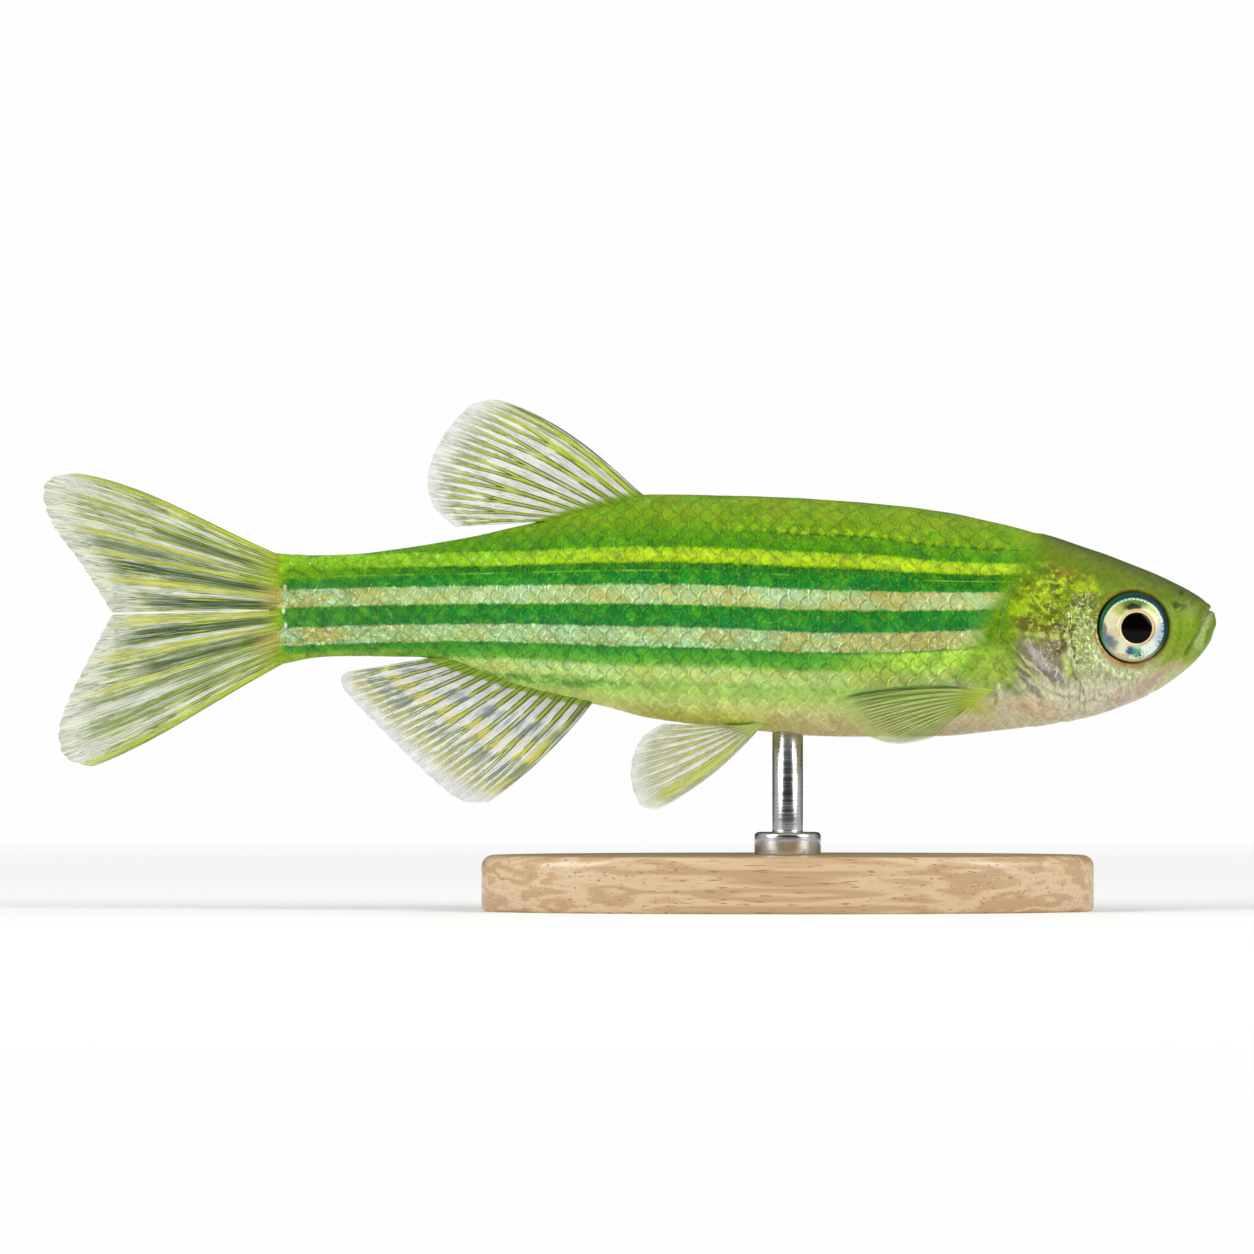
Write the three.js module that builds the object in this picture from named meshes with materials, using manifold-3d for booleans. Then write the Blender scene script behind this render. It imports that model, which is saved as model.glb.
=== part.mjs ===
// A zebra danio at life size, held level by one rod on a small oval base.
// Millimetres. +X points to the snout, +Z is up, and the fish's right side faces -Y.
// The origin is on the floor, under the middle of the fish's length and width.
import * as THREE from "three";
import { mergeVertices } from "three/addons/utils/BufferGeometryUtils.js";
import Module from "manifold-3d";

const wasm = await Module();
wasm.setup();

// Driving sizes
const axisHeight = 11.2; // the body's axis above the floor
const gap = 0.3; // clear space between neighbouring pieces
const membrane = 0.5; // fin membrane, both faces
const rayRise = 0.11; // how far a fin ray stands out of each face
const finEdge = 0.3; // fin thickness at its free edge
const eyeRadius = 1.4;
const pupilRadius = 0.62;
const gillCoverThickness = 0.8;
const gillCoverRise = 0.1;
const ringSides = 32;
const lengthSteps = 42;

// The body's sections, from the tip of the lower jaw to the root of the tail fin.
// Each gives x, the back and the belly above the axis, half the width, and how square the section is.
const sections = [
  { at: "jaw tip", x: 22.95, back: 0.33, belly: -0.1, half: 0.34, round: 0.95 },
  { at: "lip", x: 22.76, back: 0.76, belly: -0.65, half: 0.62, round: 0.92 },
  { at: "nostril", x: 21.78, back: 1.47, belly: -1.78, half: 1.14, round: 0.88 },
  { at: "eye front", x: 20.8, back: 1.94, belly: -2.49, half: 1.46, round: 0.86 },
  { at: "cheek", x: 18.4, back: 2.88, belly: -3.49, half: 1.98, round: 0.86 },
  { at: "gill edge", x: 15.2, back: 3.88, belly: -4.08, half: 2.4, round: 0.88 },
  { at: "breast", x: 11.6, back: 4.62, belly: -4.42, half: 2.62, round: 0.9 },
  { at: "belly", x: 8.2, back: 4.95, belly: -4.42, half: 2.64, round: 0.92 },
  { at: "pelvic root", x: 4.6, back: 5.13, belly: -4.14, half: 2.48, round: 0.94 },
  { at: "dorsal front", x: 0.65, back: 5.2, belly: -3.67, half: 2.1, round: 0.96 },
  { at: "vent", x: -0.9, back: 4.85, belly: -3.24, half: 1.9, round: 0.97 },
  { at: "fin bases", x: -4.4, back: 3.93, belly: -2.47, half: 1.44, round: 0.98 },
  { at: "anal rear", x: -8.1, back: 3.2, belly: -1.29, half: 1.02, round: 1.0 },
  { at: "stalk", x: -11.8, back: 2.8, belly: -1.26, half: 0.68, round: 1.0 },
  { at: "tail root", x: -13.9, back: 2.88, belly: -1.63, half: 0.42, round: 1.0 },
];
const snoutX = sections[0].x;
const tailRootX = sections[sections.length - 1].x;

// A smooth line through one column of the sections, with no overshoot between them.
function lineOf(key) {
  const xs = sections.map((s) => s.x).reverse();
  const vs = sections.map((s) => s[key]).reverse();
  const slope = xs.map((_, i) => {
    if (i === 0 || i === xs.length - 1) return 0;
    const before = (vs[i] - vs[i - 1]) / (xs[i] - xs[i - 1]);
    const after = (vs[i + 1] - vs[i]) / (xs[i + 1] - xs[i]);
    return before * after <= 0 ? 0 : (2 * before * after) / (before + after);
  });
  slope[0] = (vs[1] - vs[0]) / (xs[1] - xs[0]);
  slope[xs.length - 1] = (vs.at(-1) - vs.at(-2)) / (xs.at(-1) - xs.at(-2));
  return (x) => {
    const c = THREE.MathUtils.clamp(x, xs[0], xs.at(-1));
    let i = 0;
    while (i < xs.length - 2 && c > xs[i + 1]) i += 1;
    const h = xs[i + 1] - xs[i];
    const t = (c - xs[i]) / h;
    const rise = vs[i] * (1 + 2 * t) * (1 - t) ** 2 + vs[i + 1] * (3 - 2 * t) * t ** 2;
    return rise + h * (slope[i] * t * (1 - t) ** 2 + slope[i + 1] * (t - 1) * t ** 2);
  };
}

const backAt = lineOf("back");
const bellyAt = lineOf("belly");
const halfAt = lineOf("half");
const roundAt = lineOf("round");

// Half the body's width at a point given by x and its height above the axis.
function flankAt(x, z) {
  const middle = (backAt(x) + bellyAt(x)) / 2;
  const reach = (backAt(x) - bellyAt(x)) / 2;
  const share = Math.min(Math.abs(z - middle) / reach, 1);
  const sine = share ** (1 / roundAt(x));
  return halfAt(x) * (1 - sine * sine) ** (roundAt(x) / 2);
}

const power = (value, exponent) => Math.sign(value) * Math.abs(value) ** exponent;

// Manifold solids from three.js geometry and back

function solidOf(geometry) {
  const bare = geometry.index ? geometry.toNonIndexed() : geometry;
  bare.deleteAttribute("normal");
  bare.deleteAttribute("uv");
  const merged = mergeVertices(bare, 1e-5);
  return new wasm.Manifold(
    new wasm.Mesh({
      numProp: 3,
      vertProperties: merged.attributes.position.array,
      triVerts: new Uint32Array(merged.index.array),
    }),
  );
}

function largest(solid) {
  return solid.decompose().reduce((a, b) => (a.volume() > b.volume() ? a : b));
}

function geometryOf(solid) {
  const mesh = solid.getMesh();
  const places = new Float32Array(mesh.numVert * 3);
  for (let i = 0; i < mesh.numVert; i += 1) {
    const from = i * mesh.numProp;
    places.set(mesh.vertProperties.subarray(from, from + 3), i * 3);
  }
  const geometry = new THREE.BufferGeometry();
  geometry.setAttribute("position", new THREE.BufferAttribute(places, 3));
  geometry.setIndex(new THREE.BufferAttribute(mesh.triVerts, 1));
  geometry.computeVertexNormals();
  return geometry;
}

function geometryFrom(points, triangles) {
  const geometry = new THREE.BufferGeometry();
  geometry.setAttribute("position", new THREE.Float32BufferAttribute(points.flat(), 3));
  geometry.setIndex(triangles.flat());
  return geometry;
}

// The whole body as one closed loft, grown by an amount on every side.
function bodySolid(grown) {
  const points = [];
  const triangles = [];
  const span = snoutX - tailRootX;
  for (let i = 0; i <= lengthSteps; i += 1) {
    // The steps close up towards the blunt snout.
    const share = i / lengthSteps;
    const eased = share * (1 + 0.42 * (1 - share));
    const x = tailRootX + span * Math.min(eased, 1);
    const top = backAt(x) + grown;
    const bottom = bellyAt(x) - grown;
    const half = halfAt(x) + grown;
    const shifted = x + grown * (2 * Math.min(eased, 1) - 1);
    for (let k = 0; k < ringSides; k += 1) {
      const angle = (2 * Math.PI * k) / ringSides;
      const y = half * power(Math.cos(angle), roundAt(x));
      const z = (top - bottom) / 2 * power(Math.sin(angle), roundAt(x));
      points.push([shifted, y, axisHeight + (top + bottom) / 2 + z]);
    }
  }
  for (let i = 0; i < lengthSteps; i += 1) {
    for (let k = 0; k < ringSides; k += 1) {
      const a = i * ringSides + k;
      const b = i * ringSides + ((k + 1) % ringSides);
      triangles.push([a, b, a + ringSides], [b, b + ringSides, a + ringSides]);
    }
  }
  const rearPole = points.length;
  const frontRing = lengthSteps * ringSides;
  const middle = (x) => axisHeight + (backAt(x) + bellyAt(x)) / 2;
  points.push([tailRootX - grown - 0.25, 0, middle(tailRootX)]);
  points.push([snoutX + grown + 0.05, 0, middle(snoutX)]);
  for (let k = 0; k < ringSides; k += 1) {
    const next = (k + 1) % ringSides;
    triangles.push([rearPole, next, k]);
    triangles.push([rearPole + 1, frontRing + k, frontRing + next]);
  }
  return solidOf(geometryFrom(points, triangles));
}

// A side view's outline made into a slab across the body, from one y to another.
function sideSlab(outline, fromY, toY) {
  const shape = new THREE.Shape(outline.map(([x, z]) => new THREE.Vector2(x, z)));
  const slab = new THREE.ExtrudeGeometry(shape, { depth: toY - fromY, bevelEnabled: false });
  slab.rotateX(Math.PI / 2);
  slab.translate(0, toY, axisHeight);
  return solidOf(slab);
}

// Points along a smooth line through a few, and the same line moved to its left.
function smooth(points, steps) {
  const line = new THREE.SplineCurve(points.map(([x, z]) => new THREE.Vector2(x, z)));
  return line.getSpacedPoints(steps).map((p) => [p.x, p.y]);
}

function movedLeft(line, distance) {
  return line.map(([x, z], i) => {
    const before = line[Math.max(i - 1, 0)];
    const after = line[Math.min(i + 1, line.length - 1)];
    const run = Math.hypot(after[0] - before[0], after[1] - before[1]);
    const dx = (after[0] - before[0]) / run;
    const dz = (after[1] - before[1]) / run;
    return [x - dz * distance, z + dx * distance];
  });
}

const farFront = 27;
const farRear = -27;
const farUp = 9;
const farDown = -9;
const body = bodySolid(0);
const clearance = bodySolid(gap);

// Head, torso and tail stalk: one body parted along the gill opening and behind the anal fin

const gillOpening = smooth(
  [[17.3, farUp], [16.3, 4.1], [15.7, 2.57], [14.78, 1.08], [14.42, -0.57], [14.7, -2.14],
    [15.7, -3.39], [17.6, farDown]],
  28,
);
const gillOpeningRear = movedLeft(gillOpening, -gap);
const aheadOfGills = sideSlab([...gillOpening, [farFront, farDown], [farFront, farUp]], -8, 8);
const behindGills = sideSlab([...gillOpeningRear, [farRear, farDown], [farRear, farUp]], -8, 8);

const stalkX = -8.75;
const torsoReach = sideSlab(
  [[stalkX, farDown], [farFront, farDown], [farFront, farUp], [stalkX, farUp]], -8, 8,
);
const stalkReach = sideSlab(
  [[farRear, farDown], [stalkX - gap, farDown], [stalkX - gap, farUp], [farRear, farUp]], -8, 8,
);

// The mouth runs down and back from the lips, and the jaw's hind edge goes on to the throat.
const mouthFront = [22.72, 0.57];
const mouthCorner = [21.6, -1.35];
const mouthLine = smooth([[23.5, 0.74], mouthFront, [22.21, -0.33], mouthCorner], 12);
const jawRear = smooth([mouthCorner, [20.95, -2.0], [20.3, -3.0], [19.9, -4.4]], 6).slice(1);
const jawOutline = [...mouthLine, ...jawRear, [farFront, farDown], [farFront, 0.74]];
const jawEdge = movedLeft([...mouthLine, ...jawRear], -gap);
const jawPocket = sideSlab([...jawEdge, [farFront, farDown], [farFront, 0.74 + gap]], -8, 8);
const jawReach = sideSlab(jawOutline, -8, 8);

// A lip is a soft roll that goes round the front of the mouth from one corner to the other.
function lip(rise, radius, frontX) {
  const stops = [0.12, 0.4, 0.7, 1];
  const oneSide = stops.map((t) => {
    const x = THREE.MathUtils.lerp(mouthFront[0], mouthCorner[0], t);
    const z = THREE.MathUtils.lerp(mouthFront[1], mouthCorner[1], t) + rise * (1 - 0.45 * t);
    return new THREE.Vector3(x, flankAt(x, z) - radius * 0.55, axisHeight + z);
  });
  const front = new THREE.Vector3(frontX, 0, axisHeight + mouthFront[1] + rise * 1.2);
  const otherSide = oneSide.map((p) => new THREE.Vector3(p.x, -p.y, p.z));
  const path = new THREE.CatmullRomCurve3([...otherSide.reverse(), front, ...oneSide]);
  const round = new THREE.Shape().absarc(0, 0, radius, 0, 2 * Math.PI);
  return solidOf(
    new THREE.ExtrudeGeometry(round, { steps: 14, curveSegments: 6, extrudePath: path }),
  );
}

// Nostrils: a pit on each side of the snout, with the small flap that divides it.
const nostril = { x: 21.72, y: 0.62, z: 1.26, radius: 0.3 };

function nostrilPit(side) {
  const pit = new THREE.IcosahedronGeometry(nostril.radius, 1);
  pit.scale(1.2, 0.9, 0.8);
  pit.translate(nostril.x, side * nostril.y, axisHeight + nostril.z + 0.1);
  return solidOf(pit);
}

function nostrilFlap(side) {
  const flap = new THREE.ConeGeometry(0.24, 0.5, 7);
  flap.rotateX(Math.PI / 2);
  flap.translate(nostril.x + 0.24, side * (nostril.y - 0.02), axisHeight + nostril.z + 0.02);
  return solidOf(flap);
}

// Eyes: flat-backed globes with a clear dome, set in round sockets
const eye = { x: 19.78, z: -0.05, seat: 1.74, dome: 0.46, depth: 0.72 };

function eyeSolid(side, grown) {
  const outer = eye.dome + grown;
  const radius = eyeRadius + grown;
  const profile = [[0, -eye.depth - grown]];
  profile.push([radius * 0.62, -eye.depth * 0.86 - grown], [radius, -0.3]);
  profile.push([radius, 0.02]);
  for (const share of [0.86, 0.66]) {
    profile.push([radius * share, outer * (1 - share * share) * 0.9 + 0.04]);
  }
  // The pupil's clear lens is a low step in the dome.
  const step = outer * 0.82;
  profile.push([pupilRadius + 0.12, step - 0.02], [pupilRadius, step + 0.05]);
  profile.push([pupilRadius * 0.55, outer + 0.04], [0, outer + 0.08]);
  const globe = new THREE.LatheGeometry(profile.map(([r, y]) => new THREE.Vector2(r, y)), 20);
  if (side < 0) globe.rotateX(Math.PI);
  globe.translate(eye.x, side * eye.seat, axisHeight + eye.z);
  return solidOf(globe);
}

function eyeSocket(side) {
  const reach = 3;
  const bore = new THREE.CylinderGeometry(eyeRadius + gap, eyeRadius + gap, reach, 24);
  bore.translate(eye.x, side * (eye.seat - eye.depth - gap + reach / 2), axisHeight + eye.z);
  return solidOf(bore);
}

// Gill covers: curved plates let into the cheeks, free along the gill opening
const coverFront = smooth(
  [[15.4, 2.1], [16.6, 1.85], [17.12, 0.9], [17.28, -0.4], [17.55, -1.7], [17.7, -2.6],
    [16.9, -3.2]],
  14,
);
const coverOutline = [[12, 2.1], ...coverFront, [12, -3.3]];
const coverEdge = [[12, 2.1 + gap], ...movedLeft(coverFront, gap), [12, -3.3 - gap]];

function sideOf(side, outline) {
  return side > 0 ? sideSlab(outline, 0.3, 8) : sideSlab(outline, -8, -0.3);
}

const coverSkin = bodySolid(gillCoverRise);
const coverInside = bodySolid(gillCoverRise - gillCoverThickness);
const coverFloor = bodySolid(gillCoverRise - gillCoverThickness - gap);

function gillCover(side) {
  const plate = coverSkin.intersect(sideOf(side, coverOutline)).subtract(coverInside);
  return largest(plate.intersect(aheadOfGills));
}

function headSolid() {
  let head = body.intersect(aheadOfGills);
  head = head.add(lip(0.16, 0.25, 22.5)).subtract(jawPocket);
  for (const side of [-1, 1]) {
    head = head.subtract(sideOf(side, coverEdge).subtract(coverFloor));
    head = head.subtract(nostrilPit(side)).add(nostrilFlap(side));
    head = head.subtract(eyeSocket(side));
  }
  return largest(head);
}

function jawSolid() {
  const jaw = body.intersect(aheadOfGills).add(lip(-0.42, 0.25, 22.74));
  return largest(jaw.intersect(jawReach));
}

// Fins: a thin membrane stiffened by rays, which are raised ridges on both faces

// How far a bowed ray stands off its chord: nothing at either end, and most at late / (late + 1).
function bump(t, late) {
  const peak = late / (late + 1);
  return (t ** late * (1 - t)) / (peak ** late * (1 - peak));
}

// One fin between a root line and the line of its ray tips, both in side view.
// bow bends the leading ray, sink carries the roots into the body, and spread gives y.
function finSolid({ root, tips, rays, steps, bow, late, rootHalf, sink, spread }) {
  const rootLine = new THREE.SplineCurve(root.map(([x, z]) => new THREE.Vector2(x, z)));
  const tipLine = new THREE.SplineCurve(tips.map(([x, z]) => new THREE.Vector2(x, z)));
  const between = 1 / (rays - 1);
  const columns = [];
  for (let r = 0; r < rays; r += 1) {
    if (r > 0) columns.push({ s: (r - 0.26) * between, ridge: 0 });
    columns.push({ s: r * between, ridge: 1 });
    if (r < rays - 1) columns.push({ s: (r + 0.26) * between, ridge: 0 });
  }
  const place = (s, t) => {
    const from = rootLine.getPointAt(s);
    const to = tipLine.getPointAt(s);
    const along = to.clone().sub(from);
    const across = new THREE.Vector2(along.y, -along.x).normalize();
    const lift = t > 0 ? bow * (1 - s) ** 1.5 * bump(t, late) : 0;
    const reach = t < 0 ? (t * sink) / along.length() : t;
    const flat = from.clone().addScaledVector(along, reach).addScaledVector(across, lift);
    return new THREE.Vector3(flat.x, spread(s, along.length() * reach), axisHeight + flat.y);
  };
  const normal = place(0, 1).sub(place(0, 0)).cross(place(1, 0.5).sub(place(0, 0)));
  normal.normalize();
  if (normal.y < 0) normal.negate();
  const points = [];
  const rows = steps + 1;
  for (const { s, ridge } of columns) {
    for (let j = 0; j <= rows; j += 1) {
      const end = ridge ? 1 : 0.982;
      const t = j === 0 ? -1 : ((j - 1) / steps) * end;
      const free = THREE.MathUtils.clamp(t, 0, 1);
      const flesh = (rootHalf - membrane / 2) * (1 - Math.min(free / 0.22, 1)) ** 2;
      const thin = THREE.MathUtils.smoothstep(free, 0.72, 1) * (membrane - finEdge) / 2;
      const rise = ridge * rayRise * (1 - 0.75 * free ** 3);
      const half = membrane / 2 + Math.max(flesh, 0) - thin + rise;
      const middle = place(s, t);
      points.push(middle.clone().addScaledVector(normal, -half).toArray());
      points.push(middle.clone().addScaledVector(normal, half).toArray());
    }
  }
  const vertex = (i, j, face) => 2 * (i * (rows + 1) + j) + face;
  const triangles = [];
  const quad = (a, b, c, d) => triangles.push([a, b, c], [a, c, d]);
  const last = columns.length - 1;
  for (let i = 0; i < last; i += 1) {
    for (let j = 0; j < rows; j += 1) {
      const near = [vertex(i, j, 0), vertex(i + 1, j, 0), vertex(i + 1, j + 1, 0), vertex(i, j + 1, 0)];
      const far = near.map((v) => v + 1);
      triangles.push([near[0], near[1], near[2]], [near[0], near[2], near[3]]);
      triangles.push([far[0], far[2], far[1]], [far[0], far[3], far[2]]);
    }
    quad(vertex(i, 0, 0), vertex(i, 0, 1), vertex(i + 1, 0, 1), vertex(i + 1, 0, 0));
    quad(vertex(i, rows, 0), vertex(i + 1, rows, 0), vertex(i + 1, rows, 1), vertex(i, rows, 1));
  }
  for (let j = 0; j < rows; j += 1) {
    quad(vertex(0, j, 0), vertex(0, j + 1, 0), vertex(0, j + 1, 1), vertex(0, j, 1));
    quad(vertex(last, j, 0), vertex(last, j, 1), vertex(last, j + 1, 1), vertex(last, j + 1, 0));
  }
  const made = solidOf(geometryFrom(points, triangles));
  if (made.volume() > 0) return made;
  return solidOf(geometryFrom(points, triangles.map(([a, b, c]) => [a, c, b])));
}

const onMiddle = () => 0;
const median = { sink: 0.9, spread: onMiddle };

const dorsalFin = {
  ...median,
  root: [[0.55, 5.12], [-1.7, 4.6], [-3.75, 4.05]],
  tips: [[-5.2, 8.88], [-6.3, 8.6], [-7.45, 7.2], [-7.92, 5.85], [-7.7, 4.7], [-6.85, 3.86]],
  rays: 9, steps: 7, bow: 0.42, late: 1.3, rootHalf: 0.36,
};

const analFin = {
  ...median,
  root: [[-1.5, -3.1], [-4.4, -2.45], [-8.05, -1.3]],
  tips: [[-5.5, -6.92], [-6.6, -6.86], [-7.7, -6.05], [-9.2, -4.6], [-11, -2.75], [-11.32, -2.1],
    [-11.05, -1.8]],
  rays: 13, steps: 6, bow: -0.2, late: 1, rootHalf: 0.36,
};

const tailFork = { x: -20.3, z: 0.47 };
const tailRootMiddle = [-13.6, 0.62];
const tailUpper = {
  ...median,
  root: [[-13.3, 2.6], [-13.6, 1.9], tailRootMiddle],
  tips: [[-21.7, 5.98], [-22.7, 5.78], [-23, 5.12], [-22.6, 3.9], [-21.5, 2.4],
    [tailFork.x, tailFork.z + gap / 2]],
  rays: 9, steps: 8, bow: 0.3, late: 2.2, rootHalf: 0.42,
};
const tailLower = {
  ...median,
  root: [[-13.3, -1.35], [-13.6, -0.7], [tailRootMiddle[0], tailRootMiddle[1] - gap]],
  tips: [[-21.1, -5.55], [-22.1, -5.2], [-22.4, -4.3], [-22.15, -3.25], [-21.5, -1.85],
    [tailFork.x, tailFork.z - gap / 2]],
  rays: 9, steps: 8, bow: -0.17, late: 2.4, rootHalf: 0.42,
};

// Paired fins lean out from the body. Their y follows the flank at the root and opens with length.
const pectoralFlare = Math.tan(THREE.MathUtils.degToRad(26));
const pelvicFlare = Math.tan(THREE.MathUtils.degToRad(20));
const pelvicRootY = 0.8;

const pectoralFin = (side) => ({
  root: [[14.1, -2.5], [13.45, -3.0], [12.85, -3.5]],
  tips: [[8.05, -2.8], [7.98, -3.15], [8.5, -3.8], [9.5, -4.4], [10.55, -4.62], [11.8, -4.4]],
  rays: 11, steps: 7, bow: 0.3, late: 1, rootHalf: 0.34, sink: 0.9,
  spread: (s, length) => side * (2.22 - 0.55 * s + pectoralFlare * length),
});

const pelvicFin = (side) => ({
  root: [[5.02, -4.12], [4.4, -4.0], [3.8, -3.9]],
  tips: [[1.1, -7.2], [0.45, -7.05], [0.08, -6.2], [0.1, -5.3], [0.5, -4.4], [1.3, -3.86]],
  rays: 8, steps: 6, bow: -0.24, late: 1, rootHalf: 0.32, sink: 0.8,
  spread: (s, length) => side * (pelvicRootY + 0.1 * s + pelvicFlare * length),
});

// A fin meets the body at the body's own surface, one gap away from it.
function rooted(fin) {
  return largest(finSolid(fin).subtract(clearance));
}

// Stand: an oval base with a bevelled edge, a rod with a collar, under the fish's centre of mass
const base = { x: 6.2, length: 24, width: 13, thickness: 2.2, bevel: 0.4 };
const rodRadius = 0.6;
const collar = { radius: 1.3, height: 0.9 };

function standBase() {
  const oval = new THREE.Shape();
  const { bevel } = base;
  oval.absellipse(0, 0, base.length / 2 - bevel, base.width / 2 - bevel, 0, 2 * Math.PI);
  const plate = new THREE.ExtrudeGeometry(oval, {
    depth: base.thickness - 2 * bevel,
    curveSegments: 20,
    bevelThickness: bevel,
    bevelSize: bevel,
    bevelSegments: 1,
  });
  plate.translate(base.x, 0, bevel);
  return solidOf(plate);
}

function standRod() {
  const foot = base.thickness + gap;
  const top = axisHeight;
  const rod = new THREE.CylinderGeometry(rodRadius, rodRadius, top - foot, 20);
  rod.rotateX(Math.PI / 2);
  rod.translate(base.x, 0, (top + foot) / 2);
  const ring = new THREE.LatheGeometry(
    [[0, 0], [collar.radius, 0], [collar.radius, collar.height * 0.7],
      [collar.radius * 0.8, collar.height], [0, collar.height]].map(([r, y]) => new THREE.Vector2(r, y)),
    24,
  );
  ring.rotateX(Math.PI / 2);
  ring.translate(base.x, 0, foot);
  return largest(solidOf(rod).add(solidOf(ring)).subtract(clearance));
}

// Finishes

function finish(color, roughness, metalness = 0) {
  return new THREE.MeshStandardMaterial({ color, roughness, metalness });
}

const greenSkin = finish(0x4fa51c, 0.32);
const headSkin = finish(0x86a62c, 0.3);
const coverSilver = finish(0xb4b884, 0.25, 0.2);
const eyeGlass = finish(0x1d2b2c, 0.08);
const finMembrane = finish(0xcfdc9a, 0.35);
const baseWood = finish(0xc9ab82, 0.45);
const rodSteel = finish(0xb9bcbc, 0.25, 1);

const danio = new THREE.Group();

function addNode(name, solid, material) {
  const mesh = new THREE.Mesh(geometryOf(solid), material);
  mesh.name = name;
  danio.add(mesh);
}

const trunk = body.intersect(behindGills);
addNode("head", headSolid(), headSkin);
addNode("lower_jaw", jawSolid(), headSkin);
addNode("torso", largest(trunk.intersect(torsoReach)), greenSkin);
addNode("tail_stalk", largest(trunk.intersect(stalkReach)), greenSkin);
addNode("dorsal_fin", rooted(dorsalFin), finMembrane);
addNode("anal_fin", rooted(analFin), finMembrane);
addNode("tail_fin_upper_lobe", rooted(tailUpper), finMembrane);
addNode("tail_fin_lower_lobe", rooted(tailLower), finMembrane);
for (const [word, side] of [["right", -1], ["left", 1]]) {
  addNode(`eye_${word}`, eyeSolid(side, 0), eyeGlass);
  addNode(`gill_cover_${word}`, gillCover(side), coverSilver);
  addNode(`pectoral_fin_${word}`, rooted(pectoralFin(side)), finMembrane);
  addNode(`pelvic_fin_${word}`, rooted(pelvicFin(side)), finMembrane);
}
addNode("stand_base", standBase(), baseWood);
addNode("stand_rod", standRod(), rodSteel);

export default danio;
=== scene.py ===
import math

import bpy
import numpy as np
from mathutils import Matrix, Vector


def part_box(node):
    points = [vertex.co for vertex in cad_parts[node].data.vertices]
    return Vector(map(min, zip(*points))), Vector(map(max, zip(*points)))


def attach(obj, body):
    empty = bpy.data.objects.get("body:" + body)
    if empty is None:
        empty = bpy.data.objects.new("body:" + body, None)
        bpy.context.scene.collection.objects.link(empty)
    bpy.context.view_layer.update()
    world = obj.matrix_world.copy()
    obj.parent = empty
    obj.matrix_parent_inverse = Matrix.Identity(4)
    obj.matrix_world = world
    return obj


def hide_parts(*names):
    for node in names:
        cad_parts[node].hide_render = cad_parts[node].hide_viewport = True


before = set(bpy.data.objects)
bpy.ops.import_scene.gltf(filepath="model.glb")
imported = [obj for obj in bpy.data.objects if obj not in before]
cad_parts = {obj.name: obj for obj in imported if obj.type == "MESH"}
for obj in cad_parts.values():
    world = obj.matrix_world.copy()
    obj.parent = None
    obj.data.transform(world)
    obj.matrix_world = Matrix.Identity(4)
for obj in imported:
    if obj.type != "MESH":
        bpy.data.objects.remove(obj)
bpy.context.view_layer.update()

# The camera.
# A long lens, level with the fish and square to its right side, framed as the photograph is.
mm = 0.001
axis_height = 11.2
picture_width = 49.18
picture_middle = (-0.1, -0.06)
lens_length = 400
sensor_width = 36

camera_data = bpy.data.cameras.new("camera")
camera_data.lens = lens_length
camera_data.sensor_width = sensor_width
camera_data.clip_start = 0.01
camera_data.clip_end = 30
camera = bpy.data.objects.new("camera", camera_data)
stand_off = picture_width * lens_length / sensor_width
camera.location = (
    picture_middle[0] * mm,
    -stand_off * mm,
    (axis_height + picture_middle[1]) * mm,
)
camera.rotation_euler = (math.radians(90), 0, 0)
bpy.context.scene.collection.objects.link(camera)
bpy.context.scene.camera = camera
bpy.context.scene.view_settings.view_transform = "Standard"

# The stand's base.
# A small oval of pale hardwood with a rounded top edge, sanded smooth and satin lacquered.
# It lies loose on the floor and takes the rod in a hole at its middle.
base_low, base_high = (np.array(corner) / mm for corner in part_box("stand_base"))
base_middle = (base_low + base_high) / 2
base_reach = (base_high - base_low) / 2
base_edge_round = 0.45
base_foot_inset = 0.12
base_sides = 160


def paint(red, green, blue):
    """A colour as a screen shows it, 0 to 255, turned into the numbers that a shader takes."""
    shares = [c / 255 for c in (red, green, blue)]
    return tuple(c / 12.92 if c <= 0.04045 else ((c + 0.055) / 1.055) ** 2.4 for c in shares) + (1.0,)


def make_piece(name, points, faces, finish, lift=0.0):
    """A smooth piece from points in mm and rows of corners, which rides on the model's one body."""
    mesh = bpy.data.meshes.new(name)
    places = np.asarray(points, float) + (0, 0, lift)
    rows = [np.asarray(f, int) for f in faces if len(f)]
    sizes = np.concatenate([np.full(len(f), f.shape[1]) for f in rows])
    corners = np.concatenate([f.ravel() for f in rows])
    mesh.vertices.add(len(places))
    mesh.vertices.foreach_set("co", (places * mm).ravel())
    mesh.loops.add(len(corners))
    mesh.loops.foreach_set("vertex_index", corners)
    mesh.polygons.add(len(sizes))
    mesh.polygons.foreach_set("loop_start", np.concatenate([[0], np.cumsum(sizes)[:-1]]))
    mesh.polygons.foreach_set("loop_total", sizes)
    mesh.update(calc_edges=True)
    mesh.shade_smooth()
    mesh.materials.append(finish)
    piece = bpy.data.objects.new(name, mesh)
    bpy.context.scene.collection.objects.link(piece)
    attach(piece, "root")
    return piece


def ring_faces(rings, sides):
    """Quads between rings of points, each ring closed on itself."""
    ring = np.arange(rings - 1)[:, None] * sides
    side = np.arange(sides)[None, :]
    after = (side + 1) % sides
    quads = np.stack([ring + side, ring + after, ring + sides + after, ring + sides + side], axis=-1)
    return quads.reshape(-1, 4)


def cap_faces(pole, first, sides, outward):
    """Triangles from one ring to the point that closes it."""
    side = first + np.arange(sides)
    after = first + (np.arange(sides) + 1) % sides
    poles = np.full(sides, pole)
    return np.stack([poles, side, after] if outward else [poles, after, side], axis=1)


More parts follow.
